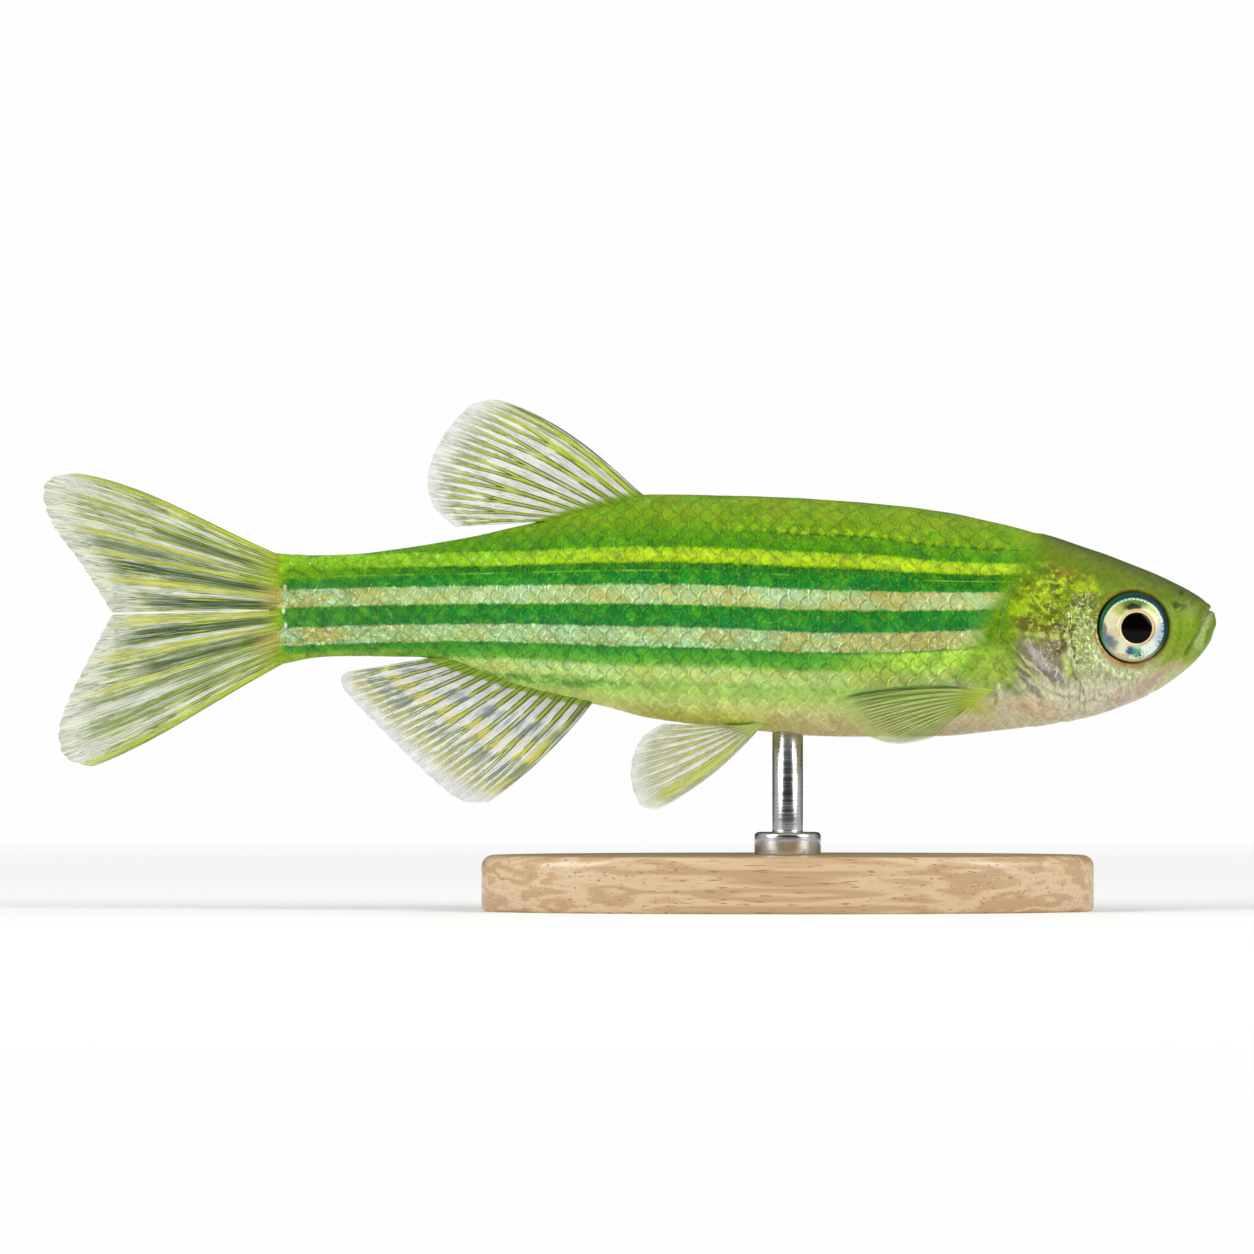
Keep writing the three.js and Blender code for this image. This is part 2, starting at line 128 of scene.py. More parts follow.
def closed_faces(rings, sides):
    """The faces of rings of points that are closed at both ends by the two points after them."""
    poles = rings * sides
    return [
        ring_faces(rings, sides),
        cap_faces(poles, 0, sides, False),
        cap_faces(poles + 1, (rings - 1) * sides, sides, True),
    ]


def turned(profile, sides, middle=(0, 0), squash=1.0):
    """Points and faces of a piece turned on an upright axis, from (radius, height) rows."""
    angles = np.linspace(0, 2 * math.pi, sides, endpoint=False)
    radius, height = np.array(profile, float).T
    x = middle[0] + radius[:, None] * np.cos(angles)
    y = middle[1] + squash * radius[:, None] * np.sin(angles)
    z = np.repeat(height[:, None], sides, axis=1)
    rings = np.stack([x, y, z], axis=-1).reshape(-1, 3)
    poles = [[middle[0], middle[1], height[0]], [middle[0], middle[1], height[-1]]]
    return np.vstack([rings, poles]), closed_faces(len(profile), sides)


def rounded(radius, height, edge, steps):
    """The (radius, height) rows of a turned piece's top edge, rounded off."""
    angles = np.linspace(0, math.pi / 2, steps)
    return [(radius - edge * (1 - math.cos(a)), height - edge * (1 - math.sin(a))) for a in angles]


def add_node(tree, kind, feeds=None, **settings):
    """A shader node with its settings, fed by other nodes or by plain values."""
    made = tree.nodes.new("ShaderNode" + kind)
    for key, value in settings.items():
        setattr(made, key, value)
    for key, value in (feeds or {}).items():
        if isinstance(value, bpy.types.NodeSocket):
            tree.links.new(value, made.inputs[key])
        else:
            made.inputs[key].default_value = value
    return made


def work_out(tree, operation, *values):
    """The result of one sum on numbers."""
    return add_node(tree, "Math", dict(enumerate(values)), operation=operation).outputs[0]


def times(tree, *shares):
    """Several shares multiplied together."""
    whole = shares[0]
    for share in shares[1:]:
        whole = work_out(tree, "MULTIPLY", whole, share)
    return whole


def eased(tree, value, start, end, low=0.0, high=1.0):
    """A smooth change from low to high while a value goes from start to end."""
    feeds = {"Value": value, "From Min": start, "From Max": end, "To Min": low, "To Max": high}
    return add_node(tree, "MapRange", feeds, interpolation_type="SMOOTHSTEP").outputs[0]


def washed(tree, share, under, over, way="MIX"):
    """One colour laid over another by a share. Three plain numbers are a colour on a screen."""
    under, over = (paint(*c) if isinstance(c, tuple) and len(c) == 3 else c for c in (under, over))
    feeds = {"Fac": share, "Color1": under, "Color2": over}
    return add_node(tree, "MixRGB", feeds, blend_type=way).outputs[0]


def graded(tree, value, stops):
    """A colour that follows a value through (place, colour) stops."""
    made = add_node(tree, "ValToRGB", {"Fac": value})
    band = made.color_ramp
    band.elements.remove(band.elements[-1])
    band.elements[0].position = stops[0][0]
    band.elements[0].color = paint(*stops[0][1])
    for place, colour in stops[1:]:
        band.elements.new(place).color = paint(*colour)
    return made.outputs[0]


def cloudy(tree, place, size, detail=3.0, rough=0.55):
    """Soft random grain at a scale."""
    feeds = {"Vector": place, "Scale": size, "Detail": detail, "Roughness": rough}
    return add_node(tree, "TexNoise", feeds).outputs[0]


def joined(tree, *parts):
    """A point from up to three numbers."""
    return add_node(tree, "CombineXYZ", dict(enumerate(parts))).outputs[0]


def parted(tree, point):
    """A point's three numbers."""
    return add_node(tree, "SeparateXYZ", {0: point}).outputs


def vector(tree, operation, *points):
    """The result of one sum on points: a number for a length or a distance, or else a point."""
    made = add_node(tree, "VectorMath", dict(enumerate(points)), operation=operation)
    return made.outputs["Value" if operation in ("LENGTH", "DISTANCE") else "Vector"]


def shaded(tree, colour, tone):
    """A colour made lighter or darker by a number, where 1 leaves it as it is."""
    return washed(tree, 1.0, colour, joined(tree, tone, tone, tone), "MULTIPLY")


def stirred(tree, place, size, detail, reach):
    """A point moved a little this way and that by soft random grain."""
    feeds = {"Vector": place, "Scale": size, "Detail": detail}
    grain = add_node(tree, "TexNoise", feeds).outputs["Color"]
    return vector(tree, "MULTIPLY_ADD", vector(tree, "SUBTRACT", grain, (0.5, 0.5, 0.5)), reach, place)


def place_in_mm(tree, stretch=(1, 1, 1), moved=(0, 0, 0)):
    """The point being shaded, in mm, stretched along each axis."""
    place = add_node(tree, "TexCoord").outputs["Object"]
    feeds = {"Vector": place, "Scale": tuple(s / mm for s in stretch), "Location": moved}
    return add_node(tree, "Mapping", feeds).outputs[0]


def new_finish(name, **sockets):
    """A material of one shader, with what is alike all over the surface set on its own sockets."""
    finish = bpy.data.materials.new(name)
    finish.use_nodes = True
    tree = finish.node_tree
    shader = tree.nodes["Principled BSDF"]
    for key, value in sockets.items():
        shader.inputs[key.replace("_", " ")].default_value = value
    return finish, tree, shader


def feed(tree, shader, **sockets):
    """Leads what changes over the surface to a shader's sockets."""
    for key, value in sockets.items():
        tree.links.new(value, shader.inputs[key.replace("_", " ")])


def raised(tree, shader, height, depth_mm, strength=1.0):
    """Gives a shader fine relief from a height between 0 and 1."""
    feeds = {"Height": height, "Distance": depth_mm * mm, "Strength": strength}
    tree.links.new(add_node(tree, "Bump", feeds).outputs[0], shader.inputs["Normal"])


def lacquered_wood():
    """Pale wood with its grain along the fish, and fine darker pores."""
    finish, tree, shader = new_finish("lacquered_wood", Coat_Weight=0.35, Coat_Roughness=0.22)
    along = place_in_mm(tree, (0.035, 0.8, 1.6))
    drift = cloudy(tree, along, 1.0, 3.0, 0.4)
    rings = work_out(tree, "SINE", times(tree, drift, 26.0))
    ringed = eased(tree, rings, -1.0, 1.0)
    pores = eased(tree, cloudy(tree, place_in_mm(tree, (0.7, 12, 12)), 1.0, 2.0), 0.58, 0.72)
    wood = graded(tree, ringed, [(0, (186, 152, 110)), (0.6, (200, 170, 130)), (1, (208, 181, 143))])
    feed(tree, shader, Base_Color=washed(tree, pores, wood, (150, 117, 80)))
    feed(tree, shader, Roughness=eased(tree, pores, 0, 1, 0.36, 0.55))
    raised(tree, shader, work_out(tree, "SUBTRACT", ringed, pores), 0.02, 0.5)
    return finish


base_profile = [(base_reach[0] - base_foot_inset - 0.4, 0.0), (base_reach[0] - base_foot_inset, 0.0)]
base_profile += [(base_reach[0], base_foot_inset), (base_reach[0], base_high[2] / 2)]
base_profile += rounded(base_reach[0], base_high[2], base_edge_round, 9)
base_profile += [(base_reach[0] * share, base_high[2]) for share in (0.9, 0.6, 0.3)]
base_points, base_faces = turned(base_profile, base_sides, base_middle[:2], base_reach[1] / base_reach[0])
wooden_base = make_piece("wooden_base", base_points, base_faces, lacquered_wood())
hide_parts("stand_base")

# The stand's rod.
# One polished steel pin pressed into the base, with a turned collar at its foot.
# It ends just inside the belly, where a museum's pin would be glued in.
rod_radius = 0.6
rod_sides = 64
collar_radius = 1.3
collar_height = 0.9
collar_round = 0.16
rod_depth = 0.35

# The body's sections, from the tip of the lower jaw to the root of the tail fin: how far along
# the fish, the back and the belly above its axis, half the width, and how square the section is.
body_sections = np.array([
    (22.95, 0.33, -0.1, 0.34, 0.95),
    (22.76, 0.76, -0.65, 0.62, 0.92),
    (21.78, 1.47, -1.78, 1.14, 0.88),
    (20.8, 1.94, -2.49, 1.46, 0.86),
    (18.4, 2.88, -3.49, 1.98, 0.86),
    (15.2, 3.88, -4.08, 2.4, 0.88),
    (11.6, 4.62, -4.42, 2.62, 0.9),
    (8.2, 4.95, -4.42, 2.64, 0.92),
    (4.6, 5.13, -4.14, 2.48, 0.94),
    (0.65, 5.2, -3.67, 2.1, 0.96),
    (-0.9, 4.85, -3.24, 1.9, 0.97),
    (-4.4, 3.93, -2.47, 1.44, 0.98),
    (-8.1, 3.2, -1.29, 1.02, 1.0),
    (-11.8, 2.8, -1.26, 0.68, 1.0),
    (-13.9, 2.88, -1.63, 0.42, 1.0),
])[::-1]
snout_tip = 23.0
nose_start = 22.95
nose_round = 0.05
tail_root = body_sections[0, 0]


def smooth_step(start, end, value):
    """0 before start, 1 after end, and a smooth change between."""
    t = np.clip((value - start) / (end - start), 0, 1)
    return t * t * (3 - 2 * t)


def section_line(column, softness=0.45, step=0.02):
    """One column of the sections as a smooth function along the fish, with no overshoot."""
    xs, values = body_sections[:, 0], body_sections[:, column]
    steep = np.diff(values) / np.diff(xs)
    both = steep[:-1] * steep[1:]
    slope = np.concatenate([steep[:1], np.zeros(len(both)), steep[-1:]])
    turning = both > 0
    slope[1:-1][turning] = 2 * both[turning] / (steep[:-1] + steep[1:])[turning]
    along = np.arange(xs[0], xs[-1] + step, step)
    i = np.clip(np.searchsorted(xs, along) - 1, 0, len(xs) - 2)
    width = xs[i + 1] - xs[i]
    t = np.clip((along - xs[i]) / width, 0, 1)
    line = values[i] * (1 + 2 * t) * (1 - t) ** 2 + values[i + 1] * (3 - 2 * t) * t ** 2
    line += width * (slope[i] * t * (1 - t) ** 2 + slope[i + 1] * (t - 1) * t ** 2)
    reach = int(2.5 * softness / step)
    weights = np.exp(-0.5 * (np.arange(-reach, reach + 1) * step / softness) ** 2)
    padded = np.concatenate([
        2 * line[0] - line[reach:0:-1], line, 2 * line[-1] - line[-2:-reach - 2:-1],
    ])
    softened = np.convolve(padded, weights / weights.sum(), "valid")
    kept = smooth_step(21.2, 22.4, along)
    line = softened * (1 - kept) + line * kept
    return lambda x: np.interp(x, along, line)


back_at, belly_at, half_at, square_at = (section_line(column) for column in (1, 2, 3, 4))


def polished_steel():
    """Bright steel with the faint rings that turning leaves."""
    finish, tree, shader = new_finish("polished_steel", Metallic=1.0, Base_Color=paint(196, 198, 200))
    turning = cloudy(tree, place_in_mm(tree, (0.4, 0.4, 16)), 1.0, 2.0)
    feed(tree, shader, Roughness=eased(tree, turning, 0.3, 0.7, 0.16, 0.3))
    raised(tree, shader, turning, 0.004, 0.4)
    return finish


rod_foot = base_high[2]
rod_top = axis_height + belly_at(base_middle[0]) + rod_depth
rod_profile = [(collar_radius - 0.05, rod_foot), (collar_radius, rod_foot + 0.05)]
rod_profile += rounded(collar_radius, rod_foot + collar_height, collar_round, 6)
rod_profile += [
    (rod_radius + 0.12, rod_foot + collar_height),
    (rod_radius, rod_foot + collar_height - 0.06),
    (rod_radius, rod_foot + collar_height + 0.1),
    (rod_radius, rod_top - 0.1),
    (rod_radius - 0.1, rod_top),
]
rod_points, rod_faces = turned(rod_profile, rod_sides, base_middle[:2])
steel_rod = make_piece("steel_rod", rod_points, rod_faces, polished_steel())
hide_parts("stand_rod")

# The skin.
# One soft skin over the whole fish from lips to tail root: a bare, glossy head with its gill
# covers, mouth, nostrils and eye sockets, and a body that the scales then cover.
skin_sides = 280
coat_depth = 0.055
eye_middle = (19.69, -0.07)
socket_radius = 1.4
mouth_front = (22.72, 0.57)
mouth_corner = (21.6, -1.35)
nostril_place = (21.62, 0.62)
gill_edge = 14.4
gill_edge_lean = 0.85
shoulder_stripe = 1.0
shoulder_span = 1.45
patch_spread = 1.35
scales_reach = 15.4
bare_from = (0.15, 1.1)
head_start = 13.4
lips_start = 22.6


def even_line(points, count=60):
    """Evenly spaced points along a smooth line through a few."""
    corners = np.array(points, float)
    padded = np.vstack([corners[:1], corners, corners[-1:]])
    t = np.linspace(0, 1, 40, endpoint=False)[:, None]
    runs = []
    for before, start, end, after in zip(padded, padded[1:], padded[2:], padded[3:]):
        leaving = (end - before) / 2
        coming = (after - start) / 2
        cubic = (2 * start - 2 * end + leaving + coming) * t ** 3
        runs.append(cubic + (3 * end - 3 * start - 2 * leaving - coming) * t ** 2 + leaving * t + start)
    dense = np.vstack(runs + [corners[-1:]])
    gone = np.concatenate([[0], np.cumsum(np.linalg.norm(np.diff(dense, axis=0), axis=1))])
    stops = np.linspace(0, gone[-1], count)
    return np.stack([np.interp(stops, gone, dense[:, k]) for k in range(dense.shape[1])], axis=1)


def from_line(x, z, line):
    """How far side-view points lie to the left of a line, and how far along it they are, 0 to 1."""
    nearest = np.full(np.shape(x), 1e6)
    along = np.zeros(np.shape(x))
    runs = np.diff(line, axis=0)
    for i, (start, run) in enumerate(zip(line[:-1], runs)):
        t = np.clip(((x - start[0]) * run[0] + (z - start[1]) * run[1]) / (run @ run), 0, 1)
        dx = x - start[0] - t * run[0]
        dz = z - start[1] - t * run[1]
        away = np.hypot(dx, dz)
        closer = away < np.abs(nearest)
        nearest = np.where(closer, np.copysign(away, run[0] * dz - run[1] * dx), nearest)
        along = np.where(closer, (i + t) / len(runs), along)
    return nearest, along


def ridge(away, width):
    """A soft ridge along a line, 1 on it and 0 away from it."""
    return np.exp(-((away / width) ** 2))


gill_opening = even_line([
    (17.3, 9), (16.3, 4.1), (15.7, 2.57), (14.78, 1.08), (14.42, -0.57), (14.7, -2.14), (15.7, -3.39),
    (17.6, -9),
])
mouth_line = even_line([(23.5, 0.74), mouth_front, (22.21, -0.33), mouth_corner], 30)
lip_fold = even_line([(22.66, 1.0), (22.32, 0.5), (21.86, -0.35), (21.3, -1.05), (20.95, -1.7)], 24)
jaw_crease = even_line([mouth_corner, (20.95, -2.0), (20.3, -3.0), (19.9, -4.4)], 20)
cheek_edge = even_line([
    (16.85, 1.3), (17.2, 0.7), (17.24, 0.06), (17.05, -0.9), (17.27, -1.45), (17.47, -2.05), (17.69, -2.57),
    (18.2, -3.1),
], 40)
gill_ray_line = even_line([(14.6, -0.9), (15.1, -1.55), (15.9, -2.25), (16.8, -2.72), (17.7, -2.95)], 24)
gill_fold_lines = [
    even_line([(14.9, -1.9), (15.5, -2.7), (16.4, -3.2), (17.5, -3.4)], 20),
    even_line([(15.2, -2.9), (15.9, -3.4), (16.8, -3.75), (17.8, -3.85)], 20),
]


def head_forms(x, y, z):
    """How far the head's forms stand out of the plain body, or sink into it."""
    rise = np.zeros_like(x)
    ahead, _ = from_line(x, z, gill_opening)
    opening = smooth_step(2.7, 1.7, z) * smooth_step(-4.1, -3.0, z)
    cover = np.where(ahead > 0, 0.045 * np.exp(-np.abs(ahead) / 0.8), -0.05 * np.exp(-np.abs(ahead) / 0.25))
    rise += cover * opening

    jaw_side, along = from_line(x, z, mouth_line)
    closed = smooth_step(1.0, 0.86, along)
    rise -= (0.05 + 0.1 * closed) * ridge(jaw_side, 0.055) * smooth_step(1.0, 0.985, along)
    rise += 0.045 * ridge(jaw_side - 0.2, 0.12) * closed + 0.035 * ridge(jaw_side + 0.17, 0.1) * closed

    fold, along = from_line(x, z, lip_fold)
    rise -= 0.035 * ridge(fold, 0.05) * smooth_step(0, 0.12, along) * smooth_step(1, 0.8, along)
    throat, along = from_line(x, z, jaw_crease)
    rise -= 0.03 * ridge(throat, 0.07) * smooth_step(1, 0.75, along)

    cheek, along = from_line(x, z, cheek_edge)
    ends = smooth_step(0, 0.15, along) * smooth_step(1, 0.85, along)
    rise += (0.035 * np.exp(-np.abs(cheek) / 0.5) * np.sign(cheek) - 0.04 * ridge(cheek, 0.05)) * ends
    rays, along = from_line(x, z, gill_ray_line)
    ends = smooth_step(0, 0.1, along) * smooth_step(1, 0.85, along)
    rise += (0.03 * ridge(rays - 0.05, 0.05) - 0.035 * ridge(rays + 0.06, 0.05)) * ends
    for line in gill_fold_lines:
        rays, along = from_line(x, z, line)
        ends = smooth_step(0, 0.15, along) * smooth_step(1, 0.8, along)
        rise += (0.02 * ridge(rays - 0.06, 0.06) - 0.03 * ridge(rays + 0.05, 0.05)) * ends

    from_eye = np.hypot(x - eye_middle[0], z - eye_middle[1])
    rise -= 0.62 * smooth_step(socket_radius + 0.03, socket_radius - 0.07, from_eye)
    rise += 0.045 * ridge(from_eye - socket_radius - 0.12, 0.1) - 0.035 * ridge(from_eye - 1.76, 0.1)
    rise += 0.03 * ridge(from_eye - 1.98, 0.1) * smooth_step(0.6, -0.6, z)

    for side in (-1, 1):
        off = y - side * nostril_place[1]
        pit = ridge(np.hypot((x - nostril_place[0]) * 0.8, off), 0.13)
        flap = ridge(np.hypot((x - nostril_place[0] - 0.2) * 1.6, off * 0.9), 0.13)
        rise += (0.24 * flap - 0.2 * pit) * (z > 0.9)

    muscle = 0.012 * np.sin(x * 2.1 + 1.3 * z) * np.sin(z * 2.7 - x * 0.8)
    return rise + muscle * smooth_step(1.6, 2.4, from_eye) * smooth_step(22.5, 21, x)


def scaled_share(x, z):
    """1 where scales cover the skin, 0 on the bare head."""
    ahead, _ = from_line(x, z, gill_opening)
    return smooth_step(0.12, -0.35, ahead)


def body_surface(x, angle):
    """Points of the plain body: the angle runs from the left flank, over the back, to the right."""
    middle = (back_at(x) + belly_at(x)) / 2
    reach = (back_at(x) - belly_at(x)) / 2
    shut = np.sqrt(np.clip(1 - (np.clip(x - nose_start, 0, nose_round) / nose_round) ** 2, 0, 1))
    square = square_at(x)
    y = half_at(x) * shut * np.sign(np.cos(angle)) * np.abs(np.cos(angle)) ** square
    z = middle + reach * shut * np.sign(np.sin(angle)) * np.abs(np.sin(angle)) ** square
    return np.stack([x, y, z], axis=-1)


def outward(points):
    """Which way each point of a grid of rings faces."""
    along = np.gradient(points, axis=0)
    around = np.roll(points, -1, axis=1) - np.roll(points, 1, axis=1)
    facing = np.cross(around, along)
    return facing / np.maximum(np.linalg.norm(facing, axis=-1, keepdims=True), 1e-9)


skin_stations = np.concatenate([
    np.linspace(tail_root, head_start, 92, endpoint=False),
    np.linspace(head_start, lips_start, 204, endpoint=False),
    np.linspace(lips_start, nose_start, 11, endpoint=False),
    nose_start + nose_round * np.sin(np.linspace(0, math.pi / 2, 5, endpoint=False)),
])
skin_angles = np.linspace(0, 2 * math.pi, skin_sides, endpoint=False)
station_grid, angle_grid = np.meshgrid(skin_stations, skin_angles, indexing="ij")
skin_points = body_surface(station_grid, angle_grid)
skin_points[..., 1] *= 1 - 0.55 * smooth_step(tail_root + 0.7, tail_root, station_grid)
skin_facing = outward(skin_points)
skin_rise = head_forms(skin_points[..., 0], skin_points[..., 1], skin_points[..., 2])
skin_rise -= coat_depth * scaled_share(skin_points[..., 0], skin_points[..., 2])
skin_points = skin_points + skin_facing * skin_rise[..., None]
tail_close = skin_points[0].mean(axis=0) - (0.25, 0, 0)
snout_close = np.array([snout_tip, 0, skin_points[-1, :, 2].mean()])
skin_list = np.vstack([skin_points.reshape(-1, 3), tail_close, snout_close])
skin_faces = closed_faces(len(skin_stations), skin_sides)


def eased_straight(tree, value, start, end, low, high):
    """A straight change from low to high while a value goes from start to end."""
    feeds = {"Value": value, "From Min": start, "From Max": end, "To Min": low, "To Max": high}
    return add_node(tree, "MapRange", feeds).outputs[0]


def followed(tree, value, points, low, high):
    """A smooth curve of one value along another, through given (along, value) points."""
    start, end = points[0][0], points[-1][0]
    share = eased_straight(tree, value, start, end, 0.0, 1.0)
    made = add_node(tree, "FloatCurve", {"Value": share})
    line = made.mapping.curves[0]
    marks = [((x - start) / (end - start), (v - low) / (high - low)) for x, v in points]
    line.points[0].location, line.points[1].location = marks[0], marks[-1]
    for mark in marks[1:-1]:
        line.points.new(*mark)
    made.mapping.update()
    return eased_straight(tree, made.outputs[0], 0.0, 1.0, low, high)


def soft_patch(tree, place, middle, reach, turn=0.0, core=0.45, solid=1.0):
    """A share that is even inside a soft oval in side view and 0 outside it."""
    feeds = {
        "Vector": place,
        "Location": (*middle, 0),
        "Rotation": (0, 0, math.radians(turn)),
        "Scale": (*reach, 1),
    }
    inside = add_node(tree, "Mapping", feeds, vector_type="TEXTURE").outputs[0]
    return eased(tree, vector(tree, "LENGTH", inside), patch_spread, core, 0.0, solid)


def ridge_node(tree, value, middle, width):
    """A soft band round one value, 1 at its middle."""
    away = work_out(tree, "ABSOLUTE", work_out(tree, "SUBTRACT", value, middle))
    return eased(tree, away, width * 1.6, width * 0.4)


# Flank colours from the back down, by the stripe they lie in: 1 is the lime stripe, 0 and -1
# the two cream stripes, and -1.9 the faint tan one.
stripe_span = (-3.3, 2.7)
flank_stripes = [
    (-3.3, (222, 212, 158)),
    (-2.95, (220, 222, 146)),
    (-2.6, (206, 222, 134)),
    (-2.3, (176, 216, 106)),
    (-2.12, (174, 214, 110)),
    (-2.0, (196, 226, 122)),
    (-1.74, (194, 226, 122)),
    (-1.64, (120, 190, 68)),
    (-1.5, (84, 170, 54)),
    (-1.26, (40, 140, 50)),
    (-1.215, (160, 190, 118)),
    (-1.0, (172, 208, 128)),
    (-0.8, (168, 198, 136)),
    (-0.755, (26, 124, 58)),
    (-0.5, (26, 134, 42)),
    (-0.26, (22, 122, 36)),
    (-0.215, (184, 208, 116)),
    (0.0, (204, 222, 140)),
    (0.2, (180, 216, 128)),
    (0.245, (22, 134, 48)),
    (0.5, (22, 124, 36)),
    (0.74, (44, 112, 20)),
    (0.795, (176, 208, 14)),
    (0.95, (194, 222, 44)),
    (1.09, (166, 204, 20)),
    (1.14, (70, 136, 14)),
    (1.45, (86, 142, 10)),
    (1.75, (112, 152, 12)),
    (2.1, (112, 148, 16)),
    (2.7, (106, 136, 40)),
]

# Head and shoulder colours in side view: middle, reach, turn in degrees, how solid, and colour.
head_patches = [
    ((14.7, 0.0), (1.5, 2.6), 0, 1.0, (96, 144, 16)),
    ((13.2, -1.3), (1.5, 1.0), -20, 0.9, (126, 182, 24)),
    ((14.2, -1.7), (0.9, 1.0), -35, 0.8, (160, 182, 74)),
    ((14.9, 2.6), (1.6, 1.1), -20, 0.7, (86, 130, 12)),
    ((15.4, -0.2), (0.7, 0.9), 0, 0.7, (134, 152, 34)),
    ((18.6, -1.9), (1.9, 1.25), 18, 1.0, (178, 182, 140)),
    ((17.4, -3.1), (3.4, 0.75), 10, 0.95, (212, 208, 180)),
    ((19.9, -2.55), (1.7, 0.34), 30, 0.7, (190, 164, 146)),
    ((20.9, -1.9), (0.9, 0.3), 40, 0.75, (184, 160, 134)),
    ((15.9, -3.25), (1.1, 0.4), -12, 0.75, (216, 188, 146)),
    ((13.9, -3.55), (2.2, 0.5), -6, 0.8, (210, 204, 168)),
    ((16.1, 0.85), (1.35, 1.1), -25, 0.95, (112, 136, 18)),
    ((15.2, 0.75), (0.35, 0.5), -20, 0.85, (156, 192, 18)),
    ((16.35, 1.15), (0.75, 0.2), -50, 0.75, (186, 204, 40)),
    ((15.9, 0.35), (0.8, 0.16), -30, 0.6, (170, 196, 44)),
    ((16.5, 0.5), (0.4, 0.4), 0, 0.6, (92, 104, 18)),
    ((16.2, -1.25), (1.25, 0.9), -42, 0.95, (132, 118, 96)),
    ((16.0, -1.4), (1.0, 0.13), -50, 0.8, (176, 172, 160)),
    ((16.5, -1.65), (0.85, 0.12), -44, 0.7, (186, 182, 172)),
    ((16.5, -2.0), (0.6, 0.24), -38, 0.75, (110, 106, 112)),
    ((15.6, -2.2), (1.0, 0.18), -52, 0.75, (110, 98, 88)),
    ((15.9, -2.25), (1.2, 0.08), -48, 0.8, (190, 200, 120)),
    ((16.25, -0.38), (0.75, 0.14), -10, 0.8, (204, 212, 110)),
    ((15.5, 0.05), (0.5, 0.2), -8, 0.8, (104, 88, 34)),
    ((16.1, -0.12), (0.6, 0.12), -6, 0.7, (118, 88, 32)),
    ((16.95, -0.55), (0.24, 0.62), -24, 0.95, (112, 78, 34)),
    ((17.12, -1.6), (0.24, 0.58), 8, 0.9, (186, 204, 96)),
    ((17.72, -0.6), (0.5, 1.3), 8, 0.9, (154, 172, 96)),
    ((17.78, 0.95), (0.42, 0.4), 0, 0.85, (104, 104, 48)),
    ((17.85, 1.55), (0.42, 0.36), -10, 0.85, (162, 184, 22)),
    ((16.95, 2.05), (0.6, 0.36), -15, 0.75, (128, 112, 34)),
    ((13.4, -3.1), (0.9, 0.45), -14, 0.75, (180, 190, 60)),
    ((14.5, -2.6), (0.12, 0.34), 12, 0.9, (226, 226, 196)),
    ((14.35, -2.95), (0.08, 0.28), -16, 0.7, (176, 120, 70)),
    ((21.0, -2.3), (1.3, 0.3), 42, 0.7, (190, 192, 144)),
    ((21.4, 0.1), (0.9, 0.8), -20, 0.55, (138, 170, 44)),
    ((22.45, -0.2), (0.24, 0.9), -24, 0.7, (174, 194, 120)),
    ((21.5, 0.78), (0.22, 0.13), -30, 0.85, (44, 62, 14)),
    ((21.72, 0.62), (0.1, 0.2), -20, 0.7, (56, 76, 20)),
]
gill_lines = [
    ((17.36, -0.95), (0.05, 0.95), 8, 0.75, (96, 72, 40)),
    ((17.5, -2.2), (0.05, 0.5), 22, 0.6, (124, 98, 84)),
    ((16.5, -0.02), (0.75, 0.05), -8, 0.7, (96, 70, 34)),
    ((15.7, 0.18), (0.5, 0.05), -10, 0.6, (104, 84, 40)),
    ((15.9, -1.75), (1.15, 0.055), -46, 0.6, (206, 214, 150)),
    ((16.2, -2.55), (0.9, 0.05), -34, 0.55, (212, 208, 186)),
    ((15.75, -1.1), (0.06, 0.75), 14, 0.55, (192, 184, 184)),
    ((16.15, -1.3), (0.05, 0.6), 20, 0.5, (206, 200, 196)),
    ((15.4, -1.35), (0.05, 0.6), 30, 0.5, (96, 78, 72)),
    ((17.6, -2.85), (0.9, 0.06), -8, 0.5, (176, 140, 122)),
    ((16.7, -3.62), (1.2, 0.05), 12, 0.5, (196, 168, 140)),
    ((15.9, 1.6), (0.85, 0.07), 6, 0.6, (176, 206, 60)),
    ((15.9, 0.95), (0.55, 0.06), -42, 0.6, (200, 214, 70)),
]
tail_glints = [(-13.5, 1.47), (-13.56, 0.57), (-13.48, 0.0)]


def hatching(tree, across, along):
    """Fine grain drawn out one way."""
    spot = joined(tree, times(tree, across, 4.6), times(tree, along, 1.1))
    return cloudy(tree, spot, 1.0, 2.0, 0.6)


def fish_place(tree):
    """The point being shaded in mm from the fish's axis, and its parts along and up."""
    place = place_in_mm(tree, moved=(0, 0, -axis_height))
    along, _, height = parted(tree, place)
    return place, along, height


